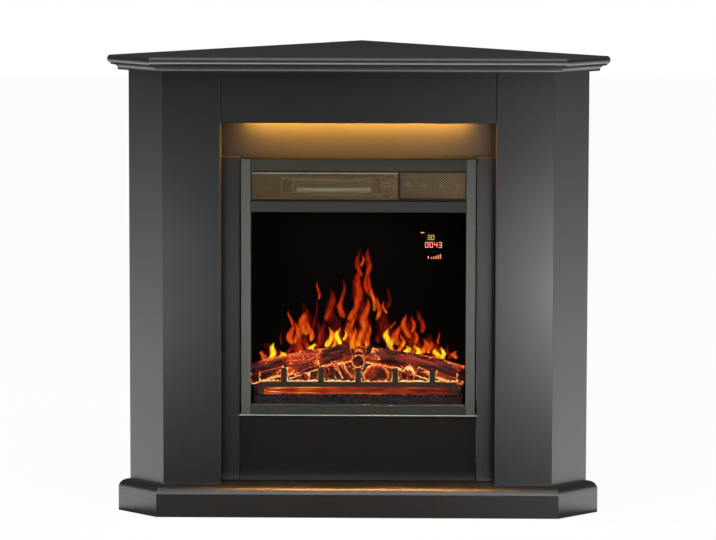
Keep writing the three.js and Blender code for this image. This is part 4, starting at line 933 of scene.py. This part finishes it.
# %% Sooty cast iron
cast_iron, tree, where = finish("sooty cast iron")
sand = node(tree, "TexNoise", Vector=where, Scale=1000 / 1.8, Detail=3.0)  # the sand mould's grain
soot = node(tree, "TexNoise", Vector=where, Scale=1000 / 25, Detail=2.0)
colours = node(tree, "Mix", 2, COLOURS, i0=soot, i6="#4c3b38", i7="#6e4b41")
lean = node(tree, "Bump", Height=sand, Distance=0.0003, Strength=0.8)
shader = node(tree, "BsdfPrincipled", Base_Color=colours, Roughness=0.75, Normal=lean)
node(tree, "OutputMaterial", Surface=shader)
dress(cast_iron, "ember_grate")


def tube(path, radius, columns=8, flat=1.0):
    """A round tube along a path in mm that lies in an upright plane. Each ring is a circle of that
    radius across the path's direction, flat squashes it front to back, and the ends are narrower."""
    path = np.asarray(path, float)
    radius = np.broadcast_to(radius, len(path)).copy()
    radius[0], radius[-1] = 0.25 * radius[0], 0.25 * radius[-1]
    along = np.gradient(path, axis=0)
    along /= np.linalg.norm(along, axis=1)[:, None]
    depth = np.array([0.0, 1.0, 0.0])
    side = np.cross(along, depth)
    turn = round_angles(columns)
    ring = np.cos(turn)[None, :, None] * side[:, None] + flat * np.sin(turn)[None, :, None] * depth
    return ringed(inside(path[:, None] + radius[:, None, None] * ring)[None])


# %% Glow behind the slot
ember_light, tree, where = finish("resin lit from behind, orange")
drawn = node(tree, "Mapping", Vector=where, Scale=[0.25, 1, 1])  # blotches run along the slot
blotch = node(tree, "TexNoise", Vector=drawn, Scale=1000 / 9, Detail=3.0)
heat = node(tree, "Attribute", "Fac", {"attribute_name": "glow"})
shift = node(tree, "MapRange", Value=blotch, From_Min=0.3, From_Max=0.7, To_Min=-0.13, To_Max=0.13)
uneven = node(tree, "Math", 0, ADD, i0=heat, i1=shift)
EMBER_STOPS = [(0.0, "#12060a"), (0.3, "#4f150d"), (0.52, "#a8340f"), (0.7, "#ea6a20"), (0.85, "#ffb04f"),
               (1.0, "#ffeaa8")]
light = node(tree, "ValToRGB", 0, None, EMBER_STOPS, i0=uneven)
shader = node(tree, "BsdfPrincipled", Base_Color="#2a1410", Roughness=0.7, Emission_Color=light,
              Emission_Strength=1.15)
node(tree, "OutputMaterial", Surface=shader)

across = np.linspace(-197, 197, 120)
shine = 0.46 - 0.06 * (across + 197) / 394 - 0.20 * np.clip((across - 60) / 140, 0, 1)
slot_path = np.stack([across, np.full(120, 25.0), np.full(120, 44.8)], -1)
points, faces = tube(slot_path, 8.6, columns=16, flat=0.18)
edge = np.abs(np.cos(round_angles(16)))[None, :]
piece("slot_diffuser", points, faces, ember_light, "cast_embers", glow=shine[:, None] + 0.26 * edge ** 4)

t = np.linspace(0, 2 * math.pi, 240)
run = np.clip(np.cos(t) * 1.02, -1, 1)  # the ends are rounded, the long sides straight
SLOT_HALF = 184  # mm
rim_x = SLOT_HALF * np.sign(run) * np.abs(run) ** 0.7
points, faces = tube(np.stack([rim_x, np.full(240, 23.9), 45.4 - 5.9 * np.sin(t)], -1), 0.8)
rim_glow = 0.74 - 0.34 * (rim_x / SLOT_HALF + 1) / 2 + 0.07 * waves(t / 7, t / 7, 77, 10, 14, 1)
piece("slot_rim", points, faces, ember_light, "cast_embers", glow=np.repeat(rim_glow, 8))

print("slot rim points:", len(points))

# %% Glowing lines round the openings
POSTS = np.array([-200, -146, -73, 0, 73, 146, 200])  # mm, the five posts and both ends
RIM_HEAT = (0.84, 0.96, 1.0, 0.92, 0.98, 0.88)
for number, (heat_here, x0, x1) in enumerate(zip(RIM_HEAT, POSTS[:-1] + 5.5, POSTS[1:] - 5.5)):
    t = np.linspace(0, 1, 60)
    level_part = np.clip((t - 0.2) / 0.6, 0, 1)
    rise = np.clip((0.2 - t) / 0.2, 0, 1) + np.clip((t - 0.8) / 0.2, 0, 1)
    wobble = waves(t, t, 50 + number, 8, 9, 1)
    path = np.stack([x0 + (x1 - x0) * level_part, np.full(60, 25.5), 63.6 + 20 * rise], -1)
    path[:, ::2] += 0.5 * wobble[:, None]
    heat_along = heat_here - 0.35 * rise ** 2 + 0.06 * wobble
    points, faces = tube(path, 1.25 + 0.35 * wobble.clip(-1, 1))
    piece(f"ember_line_{number + 1}", points, faces, ember_light, "cast_embers",
          glow=np.repeat(heat_along, 8))
print("glowing openings:", len(RIM_HEAT))

# %% [markdown]
# # Flames
# Mirror tabs on the turning spindle throw moving light onto the back of a frosted screen. A flame is
# only a picture of light there, so each one is a lens of less than a millimetre that lies on the
# screen, with a soft edge. The table holds each flame's tip and foot in the photograph, its half
# width, how hot it is, how bright and how far it leans. Hot flames are yellow and brightest, cooler
# ones orange and then red.

# %% Each flame's place and heat
FLAMES = np.array([  # tip x, tip y, foot x, foot y, half width, heat, brightness, lean
    (359, 246, 361, 278, 3.0, 0.30, 0.6, -1.5), (369, 247, 365, 277, 3.6, 0.32, 0.8, 1.5),
    (362.5, 254, 362.5, 267, 1.5, 0.45, 0.95, 0), (363, 266, 356, 305, 5.4, 0.36, 0.95, -2.0),
    (364, 266, 370, 298, 4.8, 0.36, 0.9, 1.8), (357, 296, 352, 322, 4.2, 0.48, 0.9, -1),
    (355, 312, 350, 340, 4.8, 0.50, 0.8, -1), (366.5, 297, 364, 330, 4.0, 0.52, 1.0, 0.8),
    (364, 312, 360, 349, 5.0, 0.55, 0.95, 0.5), (369, 318, 367, 345, 3.0, 0.28, 0.7, 0),
    (318, 280, 318.5, 300, 1.8, 0.38, 0.7, 0), (317, 296, 314, 330, 2.4, 0.14, 0.5, 0),
    (331, 284, 328, 322, 4.2, 0.30, 0.7, 1), (343, 276, 341, 306, 2.4, 0.25, 0.55, 1),
    (342, 295, 341, 319, 3.8, 0.42, 0.85, 0), (372.5, 286, 375, 312, 2.6, 0.56, 1.0, -1),
    (378.5, 295, 377, 321, 2.6, 0.55, 0.95, 0.5), (383, 300, 385.5, 314, 2.0, 0.48, 0.9, 0),
    (389, 283, 388, 309, 2.6, 0.16, 0.5, 0), (289, 309, 292, 326, 1.8, 0.42, 0.8, -0.5),
    (293, 320, 292, 345, 4.0, 0.48, 0.95, -1), (305.5, 308, 302, 336, 5.6, 0.54, 1.0, 1.2),
    (309, 318, 310, 342, 3.6, 0.50, 0.95, 0.5), (298, 322, 297, 344, 3.4, 0.55, 0.9, -0.8),
    (300, 334, 295, 357, 3.6, 0.34, 0.7, 0), (307, 332, 305, 354, 3.6, 0.30, 0.65, 0),
    (301, 336, 300, 356, 2.8, 0.46, 0.7, 0.5), (281.5, 329, 281, 345, 1.2, 0.18, 0.6, 0),
    (275, 342, 269, 359.5, 3.6, 0.86, 1.0, 0.8), (263.5, 350, 262, 359, 3.6, 0.52, 1.0, 0),
    (281.5, 351, 282, 358.5, 4.2, 0.80, 1.0, 0), (312.5, 343, 312.5, 350, 4.0, 0.82, 1.0, 0),
    (330, 326, 329, 348, 4.2, 0.70, 1.0, 0.6), (338.5, 327, 338, 345, 3.8, 0.84, 1.0, 0),
    (345, 329, 345.5, 341, 2.4, 0.72, 1.0, 0), (323, 318, 321, 342, 3.2, 0.24, 0.6, 0),
    (349, 324, 348, 342, 2.4, 0.26, 0.7, 0), (387.5, 328, 388, 347, 4.6, 0.84, 1.0, 0.4),
    (396.5, 325, 396, 346, 4.8, 0.54, 0.95, 0.6), (395, 320, 391, 329, 1.4, 0.42, 0.8, 0),
    (402, 333, 402.5, 347, 2.6, 0.62, 1.0, 0), (405, 313, 408, 339, 3.8, 0.50, 0.95, -1.2),
    (413, 315, 412, 333, 2.6, 0.46, 0.9, 0.5), (418.5, 306, 421, 334, 3.6, 0.24, 0.7, 0.8),
    (415, 327, 416, 344, 2.6, 0.44, 0.85, 0), (378, 322, 380, 344, 3.2, 0.18, 0.5, 0),
    (406, 345, 407, 356, 5.0, 0.82, 1.0, 0.4), (417, 344, 416.5, 356, 4.4, 0.80, 1.0, 0.4),
    (424.5, 338, 425, 354, 4.2, 0.54, 1.0, 0.3), (430, 340, 430, 354, 3.2, 0.52, 1.0, 0),
    (438, 330, 439, 345, 1.4, 0.40, 0.8, 0), (437, 348, 438, 361, 5.4, 0.82, 1.0, 0.5),
    (443, 346, 442, 359, 2.6, 0.86, 1.0, 0), (448, 343, 448, 360, 2.8, 0.16, 0.6, 0),
    (455, 350, 454, 359, 3.8, 0.50, 1.0, 0.4), (290, 345, 289, 360, 3.0, 0.30, 0.7, 0),
    (361, 262, 360, 350, 9.0, 0.20, 0.45, 0), (303, 300, 301, 356, 9.5, 0.22, 0.45, 0),
    (334, 290, 333, 350, 9.0, 0.16, 0.4, 0), (385, 300, 388, 350, 10.0, 0.18, 0.4, 0),
    (411, 312, 412, 356, 10.0, 0.22, 0.45, 0), (432, 332, 433, 360, 9.0, 0.26, 0.45, 0),
    (320, 318, 319, 350, 7.0, 0.20, 0.5, 0), (347, 318, 346, 350, 6.0, 0.26, 0.5, 0),
    (270, 340, 272, 361, 8.0, 0.24, 0.45, 0), (353, 325, 355, 351, 4.0, 0.60, 0.9, 0),
    (367, 322, 369, 350, 4.0, 0.56, 0.9, 0), (333.5, 334, 334, 349, 3.4, 0.62, 0.9, 0),
    (392, 335, 392, 350, 4.0, 0.68, 0.95, 0), (400, 338, 400, 352, 3.4, 0.52, 0.9, 0),
    (411, 348, 411.5, 357, 3.2, 0.64, 0.95, 0), (421, 346, 421, 357, 3.0, 0.60, 0.95, 0),
])
print("flames:", len(FLAMES))

# %% Flames as thin lenses of light
SCREEN_FRONT = 113.3  # mm behind the front of the fire
SCREEN_PIXEL = 0.0020  # metres to a pixel there


def flame_lenses(table, rows=22, columns=12):
    """Closed lenses. At height t from foot to tip the half width is W t^0.45 (1 - t)^0.8, brought to
    W at its widest, and the middle leans by sin(pi t). Round the lens runs an ellipse 0.3 mm deep."""
    tip_x, tip_y, foot_x, foot_y, width, _, _, lean = (c[:, None] for c in table.T)
    t = np.linspace(0.004, 0.996, rows)[None, :]
    profile = t ** 0.45 * (1 - t) ** 0.8
    sway = lean * np.sin(math.pi * t) + (0.4 * width + 0.4) * np.sin(6 * t + 7 * width)
    px = foot_x + (tip_x - foot_x) * t + sway
    py = foot_y + (tip_y - foot_y) * t
    plane_y = inside((0, SCREEN_FRONT - 0.6, 0))[1]
    centre = from_picture(np.stack([px, py], -1), plane_y)
    half = SCREEN_PIXEL * width * profile / profile.max()
    turn = round_angles(columns)
    u = np.cos(turn)[None, None, :]
    points = np.repeat(centre[:, :, None], columns, 2)
    points[..., 0] += half[..., None] * u
    points[..., 1] += 0.00015 * (1 + np.sin(turn))[None, None, :] * (profile / profile.max())[..., None]
    return points, np.broadcast_to(u, points.shape[:3]), np.broadcast_to(t[..., None], points.shape[:3])


lenses, u, t = flame_lenses(FLAMES)
heat, power = (np.broadcast_to(FLAMES[:, column, None, None], u.shape) for column in (5, 6))
print("points to a lens:", u[0].size)

# %% Light that is soft at its edges, torn by wisps and hottest at its middle
flame_light, tree, where = finish("flame light on frosted screen")
drawn = node(tree, "Mapping", Vector=where, Scale=[1, 1, 0.3])  # wisps are tall and thin
wisps = node(tree, "TexNoise", Vector=drawn, Scale=1000 / 5.5, Detail=3.0)
along_u, along_t, hot, bright = (node(tree, "Attribute", "Fac", {"attribute_name": name})
                                 for name in ("across", "height", "hotness", "power"))
squared = node(tree, "Math", 0, MULTIPLY, i0=along_u, i1=along_u)
middle = node(tree, "Math", 0, {"operation": "SUBTRACT"}, i0=1.0, i1=squared)
cooler = node(tree, "MapRange", Value=along_t, To_Min=0.08, To_Max=-0.12)
richer = node(tree, "MapRange", Value=middle, To_Min=-0.14, To_Max=0.05)
waver = node(tree, "MapRange", Value=wisps, From_Min=0.3, From_Max=0.7, To_Min=-0.04, To_Max=0.05)
place_on_ramp = node(tree, "Math", 0, ADD, i0=node(tree, "Math", 0, ADD, i0=hot, i1=cooler),
                     i1=node(tree, "Math", 0, ADD, i0=richer, i1=waver))
FLAME_STOPS = [(0.05, "#2a0608"), (0.22, "#7a170e"), (0.4, "#c82f0c"), (0.58, "#ee5614"), (0.72, "#ff9418"),
               (0.86, "#ffd428")]
light = node(tree, "ValToRGB", 0, None, FLAME_STOPS, i0=place_on_ramp)
hotter = node(tree, "MapRange", Value=place_on_ramp, From_Min=0.6, From_Max=0.86, To_Min=1.2, To_Max=2.1)
soft_edge = node(tree, "MapRange", 0, SOFT_STEP, Value=middle, From_Min=0.0, From_Max=1.0)
foot = node(tree, "MapRange", 0, SOFT_STEP, Value=along_t, From_Min=0.0, From_Max=0.14)
crown = node(tree, "MapRange", 0, SOFT_STEP, Value=along_t, From_Min=1.0, From_Max=0.6, To_Min=0.1,
             To_Max=1.0)
torn = node(tree, "MapRange", Value=wisps, From_Min=0.36, From_Max=0.6, To_Min=0.3, To_Max=1.0)
clear = node(tree, "Math", 0, MULTIPLY, i0=node(tree, "Math", 0, MULTIPLY, i0=soft_edge, i1=foot),
             i1=node(tree, "Math", 0, MULTIPLY, i0=crown, i1=torn))
seen = node(tree, "Math", 0, MULTIPLY, i0=clear, i1=bright)
shader = node(tree, "BsdfPrincipled", Base_Color="#000000", Roughness=1.0, Specular_IOR_Level=0.0,
              Emission_Color=light, Emission_Strength=hotter, Alpha=seen)
node(tree, "OutputMaterial", Surface=shader)
piece("flames", *ringed(lenses), flame_light, "flame_cloth", crease=180, across=u, height=t, hotness=heat,
      power=power)
print("flame colours:", [colour for _, colour in FLAME_STOPS])


# %% Light inside the firebox
soft_lamp("hearth lamp", inside((0, 20, 392)), inside((0, 60, 90)), 0.36, 0.75, "#ffb59a", 0.02)
soft_lamp("ember lamp left", inside((-100, 20, 118)), inside((-90, 70, 70)), 0.14, 0.12, "#ff6a2a", 0.03)
soft_lamp("ember lamp right", inside((100, 20, 118)), inside((90, 70, 70)), 0.14, 0.12, "#ff6a2a", 0.03)
print("three small lamps")

# %% [markdown]
# # The display
# Behind the glass a small module shows numbers made of seven bars each, and a few marks. They are lit
# segments a fifth of a millimetre thick. Their places come from the photograph.

# %% Lit segments
def lit(name, colour, strength):
    """A segment of diffusing resin over a diode: one colour, with a grain that makes it uneven."""
    material, tree, where = finish(name)
    grain = node(tree, "TexNoise", Vector=where, Scale=1000 / 1.2, Detail=1.0)
    power = node(tree, "MapRange", Value=grain, To_Min=strength * 0.85, To_Max=strength * 1.15)
    shader = node(tree, "BsdfPrincipled", Base_Color=colour, Roughness=0.4, Emission_Color=colour,
                  Emission_Strength=power)
    node(tree, "OutputMaterial", Surface=shader)
    return material


SEGMENTS = {  # starts and ends in digit widths and heights, from the lower left
    "a": (0, 1, 1, 1), "b": (1, 0.5, 1, 1), "c": (1, 0, 1, 0.5), "d": (0, 0, 1, 0), "e": (0, 0, 0, 0.5),
    "f": (0, 0.5, 0, 1), "g": (0, 0.5, 1, 0.5)}
DIGITS = {"0": "abcdef", "3": "abcdg", "4": "bcfg"}


DISPLAY_DEPTH = 11.86  # mm behind the front of the fire


def on_display(px, py):
    """A point of the picture on the plane of the segments, in metres."""
    return from_picture((px, py), inside((0, DISPLAY_DEPTH, 0))[1])


def strokes(starts, ends, half_width):
    """Flat bars in an upright plane: the side of each is its direction turned a quarter, and each is
    longer than its line by 0.6 of its half width at both ends."""
    starts, ends = np.asarray(starts, float), np.asarray(ends, float)
    run = ends - starts
    run /= np.linalg.norm(run, axis=1)[:, None]
    side = np.stack([run[:, 2], np.zeros(len(run)), -run[:, 0]], -1) * half_width
    return bars(starts - run * half_width * 0.6, ends + run * half_width * 0.6, side, (0, 0.0001, 0))


def seven_bar(text, left, top, width, height, step, half_width):
    """The strokes of a row of seven-bar digits. left, top and the rest are in pixels."""
    lines = []
    for place, digit in enumerate(text):
        x = left + place * step
        for name in DIGITS[digit]:
            x0, y0, x1, y1 = SEGMENTS[name]
            lines.append((on_display(x + x0 * width, top + (1 - y0) * height),
                          on_display(x + x1 * width, top + (1 - y1) * height)))
    return strokes([a for a, _ in lines], [b for _, b in lines], half_width)


print("one nought has", len(seven_bar("0", 0, 0, 1, 2, 1, 0.001)[1]) // 6, "bars")

# %% The numbers and marks of the display
yellow_light = lit("yellow lit segment", "#d8c858", 1.0)
red_light = lit("red lit segment", "#ff8f80", 2.0)
orange_light = lit("orange lit segment", "#ffa070", 1.2)
piece("display_temperature", *seven_bar("30", 427.6, 235.2, 2.4, 4.4, 4.0, 0.00045), yellow_light,
      "black_plastic")
piece("display_time", *seven_bar("0043", 425.4, 242.3, 2.6, 5.0, 4.5, 0.00046), red_light, "black_plastic")
dash = strokes([on_display(421, 232.6)], [on_display(424, 232.6)], 0.0008)
piece("display_dash", *dash, red_light, "black_plastic")
LEVELS = {428.3: 256.2, 431.6: 257.2, 433.8: 256.8, 436: 256.2, 438.2: 255.4, 440.4: 254.4}  # x and top
level = strokes([on_display(x, 258.4) for x in LEVELS], [on_display(*bar) for bar in LEVELS.items()], 0.0009)
piece("display_level", *level, orange_light, "black_plastic")
print("display segments lit")

# %% [markdown]
# # Marks on the keys
# Each key carries a plain mark: a ring with a line for power, a drop for the flame, three waves for
# heat and a clock face for the timer. They are printed in pale ink, and drawn thick enough to stand
# 0.15 mm proud of the cap.

# %% Printed marks
pale_ink, tree, where = finish("pale printed ink")
wear = node(tree, "TexNoise", Vector=where, Scale=1000 / 2, Detail=2.0)
colours = node(tree, "Mix", 2, COLOURS, i0=wear, i6="#7d8081", i7="#98999a")
shader = node(tree, "BsdfPrincipled", Base_Color=colours, Roughness=0.55)
node(tree, "OutputMaterial", Surface=shader)


def mark(name, key, lines):
    """A mark of lines, each a list of points in mm from the key's middle, on the key's front."""
    low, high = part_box(key)
    middle = np.array([(low.x + high.x) / 2, low.y - 0.00005, (low.z + high.z) / 2])
    starts, ends = [], []
    for line in lines:
        spots = middle + np.array([(a / 1000, 0, b / 1000) for a, b in line])
        starts.extend(spots[:-1])
        ends.extend(spots[1:])
    piece(name, *strokes(starts, ends, 0.00028), pale_ink, "key_plastic", key)


def arc(radius, start, end, steps=18):
    """Points of an arc: radius times (cos a, sin a) for a from start to end, in degrees."""
    a = np.radians(np.linspace(start, end, steps))
    return np.stack([radius * np.cos(a), radius * np.sin(a)], -1).tolist()


t = np.linspace(0, 2 * math.pi, 22)
drop = np.stack([1.7 * np.sin(t) * np.sin(t / 2), 2.6 * np.cos(t) - 0.2], -1).tolist()
ripple = np.linspace(-2.2, 2.2, 12)
mark("mark_power", "button_power", [arc(2.5, 125, 415), [(0, 0.6), (0, 3.1)]])
mark("mark_flame", "button_flame", [drop])
heat_waves = [np.stack([a + 0.5 * np.sin(2.2 * ripple), ripple], -1).tolist() for a in (-1.8, 0, 1.8)]
mark("mark_heat", "button_heat", heat_waves)
mark("mark_timer", "button_timer", [arc(2.7, 0, 360, 24), [(0, 1.9), (0, 0), (1.3, 0)]])
print("four marks")

# %% [markdown]
# # Seals and screws
# Black foam strips close the gap between the trim and the mantel, so that no light shows through. Their near
# black also stands for the shade deep in those gaps, so it is painted shade.
# They are soft, so they are plain strips with rounded faces. Pan-head screws with a cross recess hold
# the case together. A screw's head is a dome pushed in along two crossing grooves.

# %% Foam strips
foam, tree, where = finish("black closed-cell foam, near black as painted shade")
cells = node(tree, "TexVoronoi", "Distance", Vector=where, Scale=1000 / 1.2)
# The foam's near-black colour is painted shade for the gaps that it fills.
colours = node(tree, "Mix", 2, COLOURS, i0=cells, i6="#010101", i7="#030303")
lean = node(tree, "Bump", Height=cells, Distance=0.0003, Strength=0.8)
shader = node(tree, "BsdfPrincipled", Base_Color=colours, Roughness=0.95, Normal=lean,
              Specular_IOR_Level=0.05)
node(tree, "OutputMaterial", Surface=shader)


def strip(name, start, end, half_side, half_rise):
    """A foam strip: sixteen points round a rounded square, |x|^4 + |y|^4 = 1, carried along a line."""
    start, end, half_side, half_rise = (np.array(v, float) for v in (start, end, half_side, half_rise))
    turn = round_angles(16)
    x, y = (np.sign(v) * np.abs(v) ** 0.5 for v in (np.cos(turn), np.sin(turn)))
    ring = x[:, None] * half_side + y[:, None] * half_rise
    along = np.array([0, 0, 0.004, 0.5, 0.996, 1, 1])[:, None, None]
    size = np.array([0.03, 0.8, 1, 1, 1, 0.8, 0.03])[:, None, None]
    rings = inside(start + (end - start) * along + ring[None] * size)
    piece(name, *ringed(rings[None]), foam, "black_plastic", crease=50)


# The strips fill the gaps beside and above the trim, and their dark colour paints those gaps as shade.
for side, sign in (("left", -1), ("right", 1)):
    strip(f"foam_{side}", (sign * 224.2, 14.4, 2), (sign * 224.2, 14.4, 503), (8.6, 0, 0), (0, 2.2, 0))
strip("foam_top", (-230.5, 5.8, 505.1), (230.5, 5.8, 505.1), (0, 6.1, 0), (0, 0, 1.0))
print("three foam strips")


# %% Screws
def screws(name, places, outward, radius=0.0032, slot="sheet_metal"):
    """Pan-head screws. With r and lengths in head radii, the height at (r, a) is
    0.2 + 0.4 (1 - r^2)^0.5, less 0.3 within 0.17 of either of two crossing diameters, out to 0.62."""
    places, outward = np.asarray(places, float).reshape(-1, 3), np.array(outward, float)
    side = np.cross(outward, (0, 0, 1)) if abs(outward[2]) < 0.9 else np.array([1.0, 0, 0])
    over = np.cross(outward, side)
    r = np.concatenate([[1.0, 1.0], np.linspace(0.96, 0.04, 9)])[:, None]
    a = round_angles(32)[None, :]
    x, y = r * np.cos(a), r * np.sin(a)
    groove = (np.minimum(np.abs(x), np.abs(y)) < 0.17) & (r < 0.62)
    height = 0.2 + 0.4 * np.sqrt(np.clip(1 - r ** 2, 0, 1)) - 0.3 * groove
    height[0] = 0
    head = radius * (x[..., None] * side + y[..., None] * over + height[..., None] * outward)
    piece(name, *ringed(places[:, None, None] + head), bright_steel, slot, crease=30)


back = inside([(x, 173.8, z) for x in (-207, 0, 207) for z in (12, 170, 330, 486)])
screws("screws_case_back", back, (0, 1, 0))
for side, sign in (("left", -1), ("right", 1)):
    places = inside([(sign * 215.0, y, z) for y in (40, 150) for z in (20, 250, 480)])
    screws(f"screws_case_{side}", places, (sign, 0, 0))
low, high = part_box("light_driver")
places = [(x, high.y, (low.z + high.z) / 2) for x in (low.x + 0.008, high.x - 0.008)]
screws("screws_driver", places, (0, 1, 0), 0.0025, slot="black_plastic")
print("screws are in")
